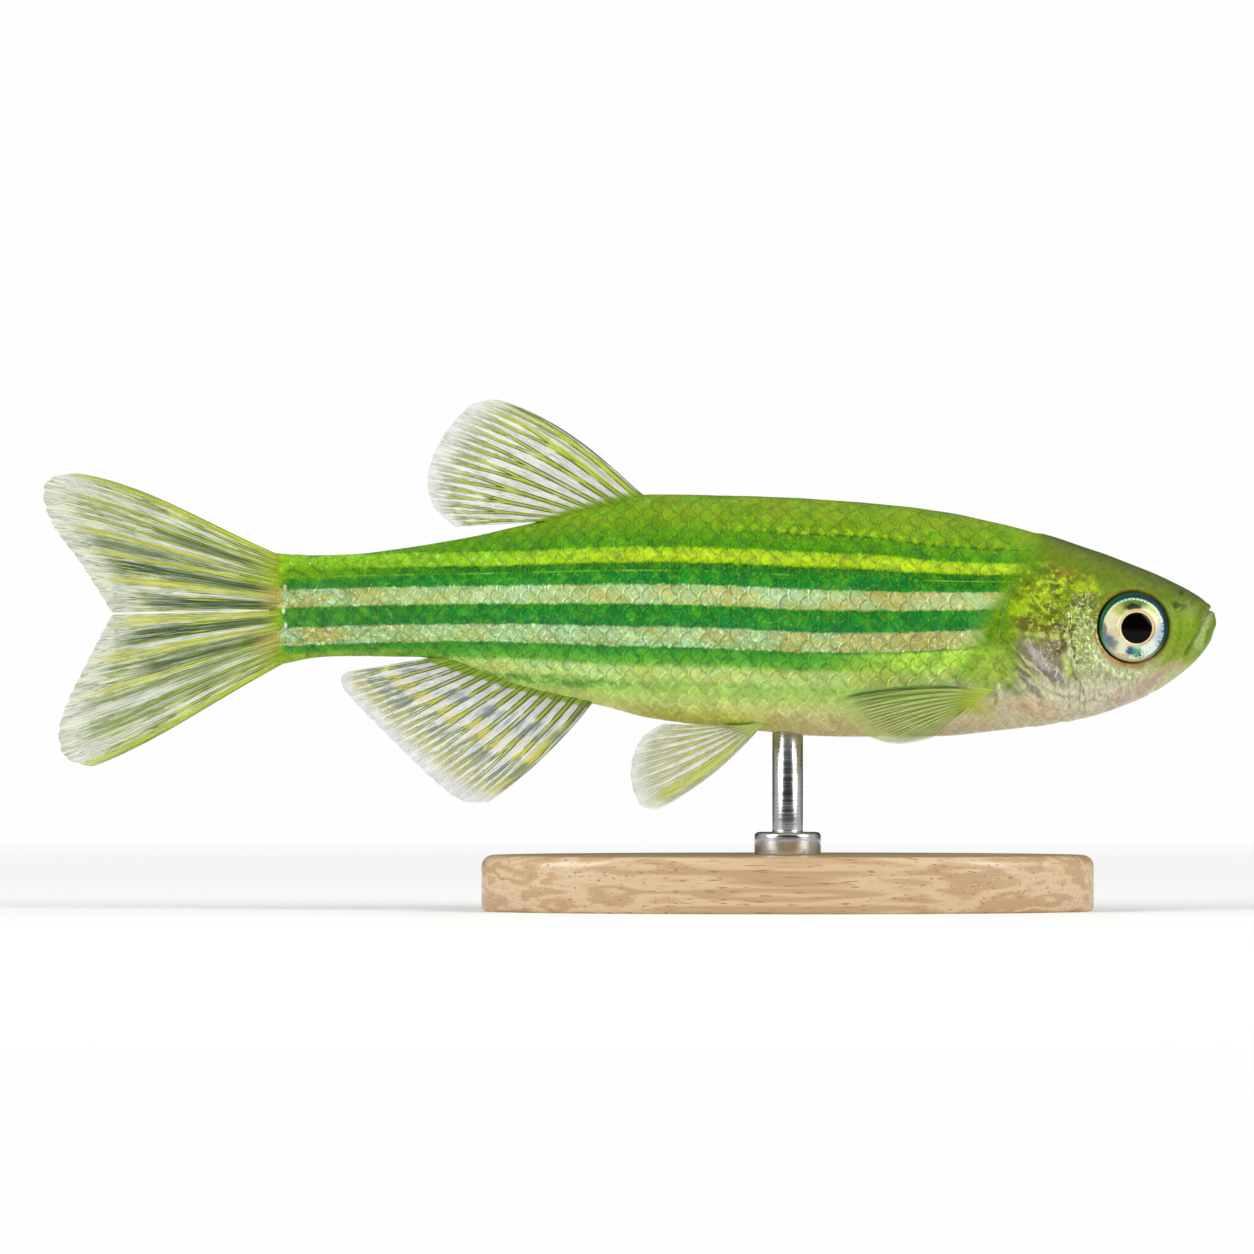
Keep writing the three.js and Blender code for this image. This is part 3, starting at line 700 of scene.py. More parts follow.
def stripe_place(tree):
    """Which stripe a point lies in, and a small random shift that frays the stripes' edges."""
    _, along, height = fish_place(tree)
    ragged = cloudy(tree, place_in_mm(tree, (1.6, 1.6, 2.6)), 1.0, 4.0, 0.7)
    grainy = cloudy(tree, place_in_mm(tree, (6, 6, 6)), 1.0, 3.0, 0.8)
    cream = followed(tree, along, [
        (-14.5, 1.02), (-13.5, 1.05), (-6.65, 1.196), (1.2, 1.225), (9.04, 0.97), (14.5, 0.98), (16, 1.0),
    ], 0.8, 1.4)
    span = followed(tree, along, [
        (-14.5, 1.5), (-13.5, 1.49), (-6.65, 1.471), (1.2, 1.657), (9.04, 1.637), (13.5, 1.49), (16, 1.4),
    ], 1.2, 1.8)
    stripe = work_out(tree, "DIVIDE", work_out(tree, "SUBTRACT", height, cream), span)
    lean = times(tree, work_out(tree, "MAXIMUM", stripe, 0.0), eased(tree, along, 8.5, 12.5, 0.0, 0.12))
    stripe = work_out(tree, "ADD", stripe, lean)
    shift = work_out(tree, "MULTIPLY_ADD", ragged, 0.14, -0.07)
    shift = work_out(tree, "ADD", shift, work_out(tree, "MULTIPLY_ADD", grainy, 0.12, -0.06))
    return stripe, shift, ragged, grainy


def flank_colours(tree):
    """The striped flank as a colour, with a share for how much it shines like foil."""
    _, along, _ = fish_place(tree)
    stripe, shift, ragged, grainy = stripe_place(tree)
    patchy = cloudy(tree, place_in_mm(tree, (0.55, 0.55, 1.3)), 1.0, 3.0)
    blotchy = cloudy(tree, place_in_mm(tree, (2.2, 2.2, 2.2), (5, 3, 1)), 1.0, 2.0)
    other_grain = cloudy(tree, place_in_mm(tree, (7, 7, 7), (9, 4, 2)), 1.0, 2.0, 0.8)
    worn = work_out(tree, "ADD", stripe, shift)
    low, high = stripe_span
    stops = [((level - low) / (high - low), colour) for level, colour in flank_stripes]
    flank = graded(tree, eased_straight(tree, worn, low, high, 0.0, 1.0), stops)

    def wash(colour, *shares):
        """The flank with a colour laid over it where all the shares meet."""
        return washed(tree, times(tree, *shares), flank, colour)

    def near(middle, width):
        """1 on one level of the stripes."""
        return ridge_node(tree, worn, middle, width)

    def by_stripe(*change):
        """A change from one level of the stripes to another."""
        return eased(tree, worn, *change)

    def by_length(*change):
        """A change from one place along the fish to another."""
        return eased(tree, along, *change)

    lime = times(tree, by_stripe(0.74, 0.82), by_stripe(1.18, 1.08), by_length(2.0, -8.0))
    flank = wash((122, 190, 14), lime, 0.75)
    tail_band = times(tree, by_stripe(0.42, 0.56), by_stripe(0.76, 0.88, 0.85, 0.5))
    flank = wash((116, 164, 12), tail_band, by_length(-8.0, -12.5))
    # Painted shade: the dark stripe below the lime one darkened towards the head.
    flank = wash((14, 84, 8), near(0.5, 0.17), by_length(9.5, 12.5), 0.6)
    back = times(tree, by_stripe(1.05, 1.3), by_length(-3.5, -10.5), 0.75)
    flank = wash(washed(tree, patchy, (90, 138, 8), (120, 166, 14)), back)
    flank = wash((140, 158, 22), by_stripe(1.5, 1.9), eased(tree, patchy, 0.46, 0.6), by_length(-6, 0), 0.6)
    flank = wash((84, 128, 62), by_stripe(0.7, 0.2), by_stripe(-1.5, -1.2), by_length(-7.0, -13.0), 0.4)
    bright_line = times(tree, by_stripe(-1.23, -1.34), by_stripe(-2.05, -1.75))
    flank = wash((204, 246, 90), bright_line, by_length(6.5, 12.0))
    flank = wash((148, 184, 58), by_stripe(-1.36, -1.52), by_length(-6.5, -10.5))
    frayed = eased(tree, ragged, 0.46, 0.56)
    flank = wash((70, 150, 62), near(-2.15, 0.14), by_length(2.0, -1.5), frayed, 0.75)
    flank = wash((212, 208, 156), by_stripe(-2.3, -2.9), by_length(2.0, 10.0))
    flank = wash((204, 214, 88), by_stripe(-2.5, -2.9), by_length(-1.0, 0.5), by_length(7.0, 3.5), 0.7)

    off_middle = work_out(tree, "ABSOLUTE", work_out(tree, "ADD", worn, 0.5))
    foil = work_out(tree, "SUBTRACT", eased(tree, off_middle, 0.76, 0.72), eased(tree, off_middle, 0.3, 0.25))
    foil = work_out(tree, "MAXIMUM", foil, times(tree, near(-1.87, 0.17), 0.7))
    warmth = work_out(tree, "MULTIPLY_ADD", work_out(tree, "SUBTRACT", patchy, 0.5), 0.7, grainy)
    warmth = work_out(tree, "ADD", warmth, by_length(-2.0, 12.0, -0.05, 0.1))
    warmth = work_out(tree, "ADD", warmth, by_length(-9.0, -13.0, 0.0, 0.14))
    flank = wash((208, 176, 84), foil, eased(tree, warmth, 0.47, 0.6), 0.55)
    coolth = work_out(tree, "MULTIPLY_ADD", work_out(tree, "SUBTRACT", 0.5, patchy), 0.7, other_grain)
    flank = wash((178, 230, 186), foil, eased(tree, coolth, 0.48, 0.6), by_length(5.0, 12.0, 0.6, 0.3))
    glinting = work_out(tree, "MAXIMUM", foil, times(tree, lime, 0.6))
    flank = wash((242, 244, 206), glinting, eased(tree, other_grain, 0.56, 0.66), 0.75)

    greens = times(tree, work_out(tree, "SUBTRACT", 1.0, foil), by_stripe(-2.4, -1.9))
    flank = wash((8, 98, 48), greens, eased(tree, blotchy, 0.5, 0.66), by_stripe(1.9, 1.2, 0.1, 0.4))
    flank = wash((96, 178, 28), greens, eased(tree, blotchy, 0.5, 0.36), 0.3)
    flank = wash((52, 104, 8), greens, eased(tree, grainy, 0.52, 0.63), 0.45)
    flank = wash((140, 200, 32), greens, eased(tree, other_grain, 0.54, 0.66), 0.3)
    beading = work_out(tree, "MULTIPLY_ADD", ragged, 13.0, times(tree, along, 12.0))
    beaded = work_out(tree, "SINE", beading)
    beads = times(tree, near(1.62, 0.07), by_length(0.5, 7.0), eased(tree, beaded, -0.4, 0.7))
    flank = wash((166, 196, 24), beads, by_length(9.0, 13.0, 0.75, 0.3))
    dots = times(tree, near(1.53, 0.03), by_length(2.5, 7.0), eased(tree, beaded, 0.3, -0.6))
    flank = wash((26, 66, 10), dots, 0.55)
    thread = ridge_node(tree, stripe, 0.56, 0.018)
    flank = wash((126, 190, 50), thread, eased(tree, patchy, 0.4, 0.56), 0.6)
    root_share = eased(tree, work_out(tree, "MULTIPLY_ADD", grainy, 0.5, along), -13.15, -13.6)
    root_colour = washed(tree, times(tree, foil, 0.8), (156, 190, 30), (204, 176, 96))
    flank = wash(root_colour, root_share, 0.9)
    return flank, work_out(tree, "SUBTRACT", foil, root_share)


def reaches_flank(middle, reach, turn):
    """Whether a head mark runs back as far as the scales."""
    angle = math.radians(turn)
    half = patch_spread * math.hypot(reach[0] * math.cos(angle), reach[1] * math.sin(angle))
    return middle[0] - half < scales_reach


def head_colours(tree, bare):
    """The head as a colour, with a share for its shine. Where it isn't bare, behind the gill
    covers, the marks that lie wholly ahead of them are left out."""
    place, along, height = fish_place(tree)
    _, shift, _, _ = stripe_place(tree)
    blotchy = cloudy(tree, place_in_mm(tree, (2.2, 2.2, 2.2), (5, 3, 1)), 1.0, 2.0)
    head_top = work_out(tree, "MULTIPLY_ADD", work_out(tree, "SUBTRACT", 22.76, along), 0.41, 0.9)
    below_top = work_out(tree, "SUBTRACT", head_top, height)
    from_top = eased_straight(tree, work_out(tree, "ADD", below_top, shift), 0.0, 5.0, 0.0, 1.0)
    head = graded(tree, from_top, [
        (0.0, (84, 98, 40)), (0.05, (98, 116, 30)), (0.14, (98, 122, 18)),
        (0.3, (110, 138, 22)), (0.5, (130, 154, 44)), (0.66, (160, 168, 88)),
        (0.84, (194, 188, 150)), (1.0, (206, 200, 166)),
    ])
    drawn_x, _, drawn_z = parted(tree, stirred(tree, place, 1.4, 3.0, (0.7, 0.7, 0.7)))
    side_view = joined(tree, drawn_x, drawn_z)
    for middle, reach, turn, solid, colour in head_patches:
        if bare or reaches_flank(middle, reach, turn):
            head = washed(tree, soft_patch(tree, side_view, middle, reach, turn, 0.45, solid), head, colour)
    upper = soft_patch(tree, side_view, (16.6, 0.8), (1.9, 1.5), -20, 0.65)
    shoulder = soft_patch(tree, side_view, (14.2, -1.2), (1.1, 1.7), 0, 0.6, 0.55)
    upper = work_out(tree, "MAXIMUM", upper, shoulder)
    crinkled = cloudy(tree, place_in_mm(tree, (3.2, 3.2, 3.2), (2, 7, 4)), 1.0, 4.0, 0.8)
    head = washed(tree, times(tree, upper, eased(tree, blotchy, 0.5, 0.38), 0.6), head, (66, 82, 14))
    head = washed(tree, times(tree, upper, eased(tree, crinkled, 0.5, 0.64), 0.85), head, (188, 212, 40))
    head = washed(tree, times(tree, upper, eased(tree, crinkled, 0.47, 0.36), 0.7), head, (82, 92, 26))
    if not bare:
        return head, None

    away = vector(tree, "DISTANCE", joined(tree, along, height), (*eye_middle, 0))
    before_eye = eased_straight(tree, along, 19.4, 20.6, 0.0, 1.0)
    streaky = cloudy(tree, place_in_mm(tree, (7.0, 2.2, 1.6)), 1.0, 3.0, 0.7)
    cheek = soft_patch(tree, side_view, (17.9, -1.9), (2.2, 1.6), 15, 0.6)
    head = washed(tree, times(tree, cheek, eased(tree, streaky, 0.52, 0.64), 0.55), head, (220, 226, 190))
    head = washed(tree, times(tree, cheek, eased(tree, streaky, 0.48, 0.38), 0.5), head, (128, 120, 104))
    for middle, reach, turn, solid, colour in gill_lines:
        head = washed(tree, soft_patch(tree, side_view, middle, reach, turn, 0.8, solid), head, colour)
    rim = times(tree, eased(tree, away, 1.66, 1.54), eased(tree, before_eye, 1.0, 0.3, 0.25, 1.0))
    rim_colour = washed(tree, eased(tree, height, 0.2, -1.0), (128, 124, 34), (176, 134, 66))
    head = washed(tree, times(tree, rim, 0.9), head, rim_colour)
    flecks = eased(tree, cloudy(tree, place_in_mm(tree, (7, 7, 7)), 1.0, 2.0, 0.7), 0.5, 0.58)
    below = times(tree, eased(tree, height, 1.0, 0.2), eased(tree, along, 21.0, 20.3))
    arc = times(tree, ridge_node(tree, away, 1.86, 0.16), below)
    column = soft_patch(tree, side_view, (17.75, -0.4), (0.75, 1.5), 8, 0.6)
    glitter = times(tree, flecks, work_out(tree, "MAXIMUM", arc, column), 0.7)
    head = washed(tree, glitter, head, (224, 238, 168))
    cheeks = soft_patch(tree, side_view, (17.3, -0.6), (1.8, 2.2), 0, 0.6)
    other_grain = cloudy(tree, place_in_mm(tree, (7, 7, 7), (9, 4, 2)), 1.0, 2.0, 0.8)
    sparks = times(tree, cheeks, eased(tree, other_grain, 0.6, 0.68), 0.7)
    head = washed(tree, sparks, head, (232, 238, 186))
    return head, times(tree, cheeks, 0.8)


def grained(tree, colour):
    """A colour with the fine crossed grain of wet skin over it."""
    _, along, height = fish_place(tree)
    _, _, _, grainy = stripe_place(tree)
    rising, falling = work_out(tree, "ADD", along, height), work_out(tree, "SUBTRACT", along, height)
    hatched = work_out(tree, "MAXIMUM", hatching(tree, rising, falling), hatching(tree, falling, rising))
    grain = eased_straight(tree, grainy, 0.25, 0.75, 0.78, 1.22)
    grain = times(tree, grain, eased_straight(tree, hatched, 0.42, 0.7, 0.86, 1.16))
    return shaded(tree, colour, grain)


def coat_colours(tree):
    """The markings of the scaled body, which run into the head's over the gill covers."""
    _, along, height = fish_place(tree)
    stripe, shift, _, _ = stripe_place(tree)
    flank, foil = flank_colours(tree)
    head, _ = head_colours(tree, False)
    edge = work_out(tree, "MULTIPLY_ADD", stripe, gill_edge_lean, gill_edge)
    past = work_out(tree, "SUBTRACT", along, edge)
    head_share = eased(tree, work_out(tree, "ADD", past, times(tree, shift, 4.0)), -0.7, 0.5)
    colour = washed(tree, head_share, flank, head)
    flat_view = joined(tree, along, height)
    for x, z in tail_glints:
        glint = soft_patch(tree, flat_view, (x, z), (0.07, 0.13), 0, 0.3, 0.85)
        colour = washed(tree, glint, colour, (240, 244, 214))
    return grained(tree, colour), times(tree, foil, eased(tree, along, 15.0, 14.0))


def wet_finish(name, bare):
    """The skin's finish, on the bare head or under the scales."""
    finish, tree, shader = new_finish(name, Specular_IOR_Level=0.12, Coat_Weight=0.04, Coat_Roughness=0.15)
    if bare:
        colour, sheen = head_colours(tree, True)
        colour = grained(tree, colour)
    else:
        colour, sheen = coat_colours(tree)
    feed(tree, shader, Base_Color=colour, Metallic=eased(tree, sheen, 0, 1, 0.0, 0.35))
    pores = cloudy(tree, place_in_mm(tree, (11, 11, 11)), 1.0, 3.0)
    feed(tree, shader, Roughness=eased(tree, pores, 0.3, 0.7, 0.28, 0.46))
    raised(tree, shader, pores, 0.03, 0.5)
    return finish


skin = make_piece("skin", skin_list, skin_faces, wet_finish("wet_skin", False), axis_height)
skin.data.materials.append(wet_finish("bare_head", True))
middles = np.empty(3 * len(skin.data.polygons))
skin.data.polygons.foreach_get("center", middles)
face_x, _, face_z = middles.reshape(-1, 3).T / mm
ahead_of_gills, _ = from_line(face_x, face_z - axis_height, gill_opening)
face_stripe = (face_z - axis_height - shoulder_stripe) / shoulder_span
past_stripes = face_x - gill_edge - gill_edge_lean * face_stripe
is_bare = (ahead_of_gills > bare_from[0]) & (past_stripes > bare_from[1])
skin.data.polygons.foreach_set("material_index", is_bare.astype(np.int32))
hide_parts("head", "lower_jaw", "gill_cover_right", "gill_cover_left", "torso", "tail_stalk")

# The scales.
# Thin overlapping plates of clear horn, rooted forward and free behind, laid like roof tiles in
# staggered rows from the gill covers to the tail. They carry the same markings as the skin.
scale_pitch = 0.78
row_pitch = 0.43
scale_length = 1.08
scale_width = 0.94
scale_lift = 0.05
scale_thickness = 0.014
scale_rings = (0.3, 0.55, 0.75, 0.9, 1.0)
scale_sides = 22
scale_seed = 11
first_scale = 16.6
first_ridge_scale = 16.4
rows_each_way = 18
scale_steps = range(-2, 42)
tail_size = 0.62
tail_crowding = 0.93
tail_clearing = 0.75
ridge_clearing = 0.22
scale_sunk = 0.012
scale_bow = 0.014
rim_drop = 0.007
tilt_spread = 0.004
table_front = 17.5
fin_base_clearings = {1: (-4.1, 0.8), -1: (-8.5, -1.3)}
coat_parting = 4.0
map_patch = 0.003
both_sides = (("right", -1), ("left", 1))


def body_table(first, last, stations=420, arcs=181):
    """The right flank as a table by place along the fish and share of the way round from its
    middle, up to 1 at the back and down to -1 at the belly, with where each point faces."""
    xs = np.linspace(first, last, stations)
    quarter = np.sin(np.linspace(0, math.pi / 2, 240)) ** 0.5 * math.pi / 2
    angles = np.concatenate([-quarter[:0:-1], quarter])
    station, angle = np.meshgrid(xs, angles, indexing="ij")
    dense = body_surface(station, math.pi - angle)
    steps = np.linalg.norm(np.diff(dense, axis=1), axis=-1)
    arc = np.concatenate([np.zeros((stations, 1)), np.cumsum(steps, axis=1)], axis=1)
    arc -= arc[:, len(quarter) - 1:len(quarter)]
    shares = np.linspace(-1, 1, arcs)
    table = np.empty((stations, arcs, 3))
    for i in range(stations):
        stops = np.where(shares > 0, shares * arc[i, -1], -shares * arc[i, 0])
        for k in range(3):
            table[i, :, k] = np.interp(stops, arc[i], dense[i, :, k])
    along = np.gradient(table, axis=0)
    around = np.gradient(table, axis=1)
    facing = np.cross(along, around)
    facing /= np.maximum(np.linalg.norm(facing, axis=-1, keepdims=True), 1e-9)
    facing[:, 0] = (0, 0, -1)
    facing[:, -1] = (0, 0, 1)
    return xs, arc[:, -1], -arc[:, 0], table, facing


flank_xs, up_arcs, down_arcs, flank_table, facing_table = body_table(tail_root - 0.2, table_front)


def looked_up(table, x, share):
    """Values from a flank table between its rows and columns."""
    i = np.clip((x - flank_xs[0]) / (flank_xs[1] - flank_xs[0]), 0, len(flank_xs) - 1.001)
    j = np.clip((share + 1) / 2 * (table.shape[1] - 1), 0, table.shape[1] - 1.001)
    i0, j0 = i.astype(int), j.astype(int)
    di, dj = (i - i0)[..., None], (j - j0)[..., None]
    near = table[i0, j0] * (1 - dj) + table[i0, j0 + 1] * dj
    far = table[i0 + 1, j0] * (1 - dj) + table[i0 + 1, j0 + 1] * dj
    return near * (1 - di) + far * di


def way_round(x, arc):
    """How far it is from the middle line round to the back, or to the belly below the line."""
    return np.where(arc > 0, np.interp(x, flank_xs, up_arcs), np.interp(x, flank_xs, down_arcs))


def on_flank(x, arc, side, height):
    """Points above the bare body, by place along it and distance round from its middle line."""
    share = arc / way_round(x, arc)
    over = np.abs(share) > 1
    share = np.where(over, np.sign(share) * (2 - np.abs(share)), share)
    across = np.where(over, -side, side)
    place = looked_up(flank_table, x, share)
    facing = looked_up(facing_table, x, share)
    points = place + facing * height[..., None]
    points[..., 1] *= -across
    return points


def scale_plate():
    """One scale laid flat: along, across and how far out its corners lie, and its faces."""
    angles = np.linspace(0, 2 * math.pi, scale_sides, endpoint=False)
    radius = np.repeat([*scale_rings, 1.0], scale_sides)
    angle = np.tile(angles, len(scale_rings) + 1)
    rear = np.clip(np.cos(angle), 0, 1)
    along = 0.5 + radius * 0.5 * np.sign(np.cos(angle)) * np.abs(np.cos(angle)) ** 0.9
    across = radius * 0.5 * np.sign(np.sin(angle)) * np.abs(np.sin(angle)) ** 0.95
    across *= 1 - 0.06 * rear
    under = np.concatenate([np.zeros(len(scale_rings) * scale_sides), np.ones(scale_sides)])
    edge = (radius > 0.95) * (1 - under)
    middle = [(0.5, 0.0, 0.0, 0.0, 0.0), (0.5, 0.0, 0.0, 1.0, 0.0)]
    rows = np.vstack([np.stack([along, across, radius, under, edge], axis=1), middle])
    return rows, closed_faces(len(scale_rings) + 1, scale_sides)


def towards_tail(x, least):
    """1 along the trunk, less and less towards the tail."""
    return least + (1 - least) * smooth_step(-13, 4, x)


def scale_roots():
    """Where every scale is rooted: along the fish, round it, which side, and its size. The last
    two rows lie along the ridges of the back and the belly, with room for the fins."""
    roots = []
    for side in (-1, 1):
        for row in range(-rows_each_way, rows_each_way + 1):
            stagger = 0.5 * (row % 2)
            for step in scale_steps:
                run = (step + stagger) * scale_pitch
                size = towards_tail(first_scale - run, tail_size)
                x = first_scale - run * towards_tail(first_scale - run, tail_crowding)
                arc = row * row_pitch * size
                room = way_round(x, arc) - ridge_clearing * size
                if x >= tail_root + tail_clearing and abs(arc) <= room:
                    roots.append((x, arc, side, size))
    for top, (rear, front) in fin_base_clearings.items():
        for step in scale_steps:
            x = first_ridge_scale - step * scale_pitch
            if x >= tail_root + tail_clearing and not rear < x < front:
                roots.append((x, top * way_round(x, top) * 0.999, -1, towards_tail(x, tail_size)))
    roots = np.array(roots)
    place = on_flank(roots[:, 0], roots[:, 1], roots[:, 2], np.zeros(len(roots)))
    covered = scaled_share(place[:, 0] + 0.15, place[:, 2])
    return roots[covered > 0.9]


def horn_scale():
    """A scale's finish: the markings, a tone of its own, a darker line inside its rim, and a faint painted
    highlight along the rim.
    """
    finish, tree, shader = new_finish(
        "horn_scale", Specular_IOR_Level=0.12, Coat_Weight=0.03, Coat_Roughness=0.2
    )
    colour, sheen = coat_colours(tree)
    out, tone, _ = parted(tree, add_node(tree, "UVMap", uv_map="scale_face").outputs[0])
    colour = shaded(tree, colour, eased_straight(tree, tone, 0, 1, 0.88, 1.12))
    _, _, height = fish_place(tree)
    upper = eased(tree, height, -2.9, -1.6)
    seam = times(tree, ridge_node(tree, out, 0.82, 0.07), 0.34, upper)
    colour = washed(tree, seam, colour, (26, 70, 10))
    # A painted highlight: a faint light line along each scale's rim, kept off the belly.
    edge = times(tree, eased(tree, out, 0.92, 0.99), 0.08, upper)
    colour = washed(tree, edge, colour, (170, 200, 80))
    feed(tree, shader, Base_Color=colour, Metallic=eased(tree, sheen, 0, 1, 0.0, 0.4))
    ripples = work_out(tree, "SINE", times(tree, out, 60.0))
    grain = cloudy(tree, place_in_mm(tree, (9, 9, 9)), 1.0, 2.0)
    relief = work_out(tree, "MULTIPLY_ADD", ripples, 0.15, grain)
    feed(tree, shader, Roughness=eased(tree, grain, 0.3, 0.7, 0.3, 0.5))
    raised(tree, shader, relief, 0.012, 0.6)
    return finish


plate_rows, plate_faces = scale_plate()
all_roots = scale_roots()
chance = np.random.default_rng(scale_seed)
all_tones = chance.random(len(all_roots))
all_tilts = chance.normal(0, tilt_spread, len(all_roots))
scale_finish = horn_scale()


def add_maps(piece, **places_of):
    """Flat maps for a piece, by name, from a pair of numbers for each of its points."""
    corner_of = np.empty(len(piece.data.loops), np.int32)
    piece.data.loops.foreach_get("vertex_index", corner_of)
    for name, places in places_of.items():
        layer = piece.data.uv_layers.new(name=name)
        layer.data.foreach_set("uv", places.reshape(-1, 2)[corner_of].ravel())


def lay_scales(name, chosen):
    """One coat piece: every chosen scale bent to the flank and joined, with its map patches."""
    roots, tones, tilts = all_roots[chosen], all_tones[chosen], all_tilts[chosen]
    along, across, out, under, edge = plate_rows.T
    x0, arc0, side, size = (roots[:, k:k + 1] for k in range(4))
    x = x0 - along * scale_length * size
    arc = arc0 + across * scale_width * size
    whole = way_round(x0, arc0)
    round_share = np.abs(arc0) / whole
    calm = 1 - 0.75 * smooth_step(7, 10, x0) * smooth_step(0.42, 0.62, round_share) * (arc0 < 0)
    calm = calm * (1 - 0.7 * smooth_step(0.7, 0.92, round_share))
    height = -coat_depth - scale_sunk + (scale_lift + tilts[:, None]) * along * calm
    height = height - scale_bow * (2 * across) ** 2 - rim_drop * edge - scale_thickness * under
    points = on_flank(x, arc, np.broadcast_to(side, x.shape), height)
    starts = (np.arange(len(roots)) * len(plate_rows))[:, None, None]
    flipped = roots[:, 2] > 0
    faces = []
    for rows in plate_faces:
        placed = rows[None] + starts
        for group in (placed[flipped][..., ::-1], placed[~flipped]):
            faces.append(group.reshape(-1, rows.shape[1]))
    piece = make_piece(name, points.reshape(-1, 3), faces, scale_finish, axis_height)
    patch_u = (x0 + 15) / 40 + map_patch * (along - 0.5)
    patch_v = 0.5 + side * (0.25 + 0.24 * arc0 / whole) + map_patch * across
    shown = out * np.clip(2 * along, 0, 1)
    face_map = np.stack(np.broadcast_arrays(shown, tones[:, None]), axis=-1)
    add_maps(piece, scale_face=face_map, OFBake=np.stack([patch_u, patch_v], axis=-1))


for side_name, side in both_sides:
    on_side = all_roots[:, 2] == side
    ahead = all_roots[:, 0] >= coat_parting
    lay_scales(f"scales_{side_name}_fore", on_side & ahead)
    lay_scales(f"scales_{side_name}_rear", on_side & ~ahead)

# The eyes.
# Cast in clear resin over a painted iris: a black lens that stands a little proud in its gold
# rim, a shallow silvery iris with a painted highlight of small white dots along its top, and a
# dark outer ring that turns down into the socket, with painted shade at its very edge.
eye_sides = 160
eye_seat = 0.95
eye_lean = 0.15
eye_sunk = 0.1
pupil_off = (0.125, -0.03)
pupil_radius = 0.61
gold_off = (0.155, -0.01)
gold_radius = 0.735
iris_off = (0.0, -0.05)
iris_radius = 1.2
ball_radius = 1.365
eye_profile = [
    (0.0, 2.215), (0.15, 2.212), (0.3, 2.2), (0.42, 2.182), (0.52, 2.16), (0.58, 2.14), (0.605, 2.124),
    (0.62, 2.112), (0.635, 2.118), (0.66, 2.132), (0.7, 2.132), (0.73, 2.118), (0.75, 2.1), (0.8, 2.086),
    (0.9, 2.066), (1.0, 2.05), (1.1, 2.034), (1.16, 2.018), (1.2, 2.006), (1.23, 2.0), (1.27, 1.982),
    (1.31, 1.945), (1.335, 1.9), (1.353, 1.83), (1.365, 1.74), (1.365, 1.62), (1.365, eye_seat),
]
iris_patches = [
    ((1.0, -0.15), (0.55, 0.95), 0, 0.9, (192, 208, 214)),
    ((0.8, 0.58), (0.55, 0.42), -42, 0.9, (236, 240, 192)),
    ((0.68, 0.82), (0.42, 0.17), -38, 0.8, (190, 212, 96)),
    ((-0.85, 0.25), (0.5, 0.55), 0, 0.9, (238, 230, 184)),
    ((-0.75, -0.25), (0.36, 0.3), 0, 0.75, (214, 200, 158)),
    ((-0.52, 0.74), (0.3, 0.26), 0, 0.85, (184, 196, 56)),
    ((0.05, 1.0), (0.72, 0.2), 0, 0.95, (88, 130, 40)),
    ((0.0, 0.8), (0.42, 0.15), 0, 0.95, (20, 30, 14)),
    ((-1.14, -0.12), (0.09, 0.36), 0, 0.8, (92, 94, 84)),
    ((-0.97, -0.52), (0.3, 0.26), -42, 0.9, (74, 106, 140)),
    ((-0.72, -0.72), (0.28, 0.24), -30, 0.8, (136, 128, 108)),
    ((-0.47, -0.85), (0.26, 0.24), 0, 0.8, (226, 234, 204)),
    ((-0.45, -1.12), (0.32, 0.1), -20, 0.8, (198, 182, 138)),
    ((0.58, -0.84), (0.42, 0.36), 42, 0.9, (226, 246, 228)),
    ((-0.12, -0.92), (0.21, 0.19), 0, 0.95, (42, 78, 128)),
    ((0.14, -0.98), (0.2, 0.24), 0, 0.9, (50, 166, 120)),
]


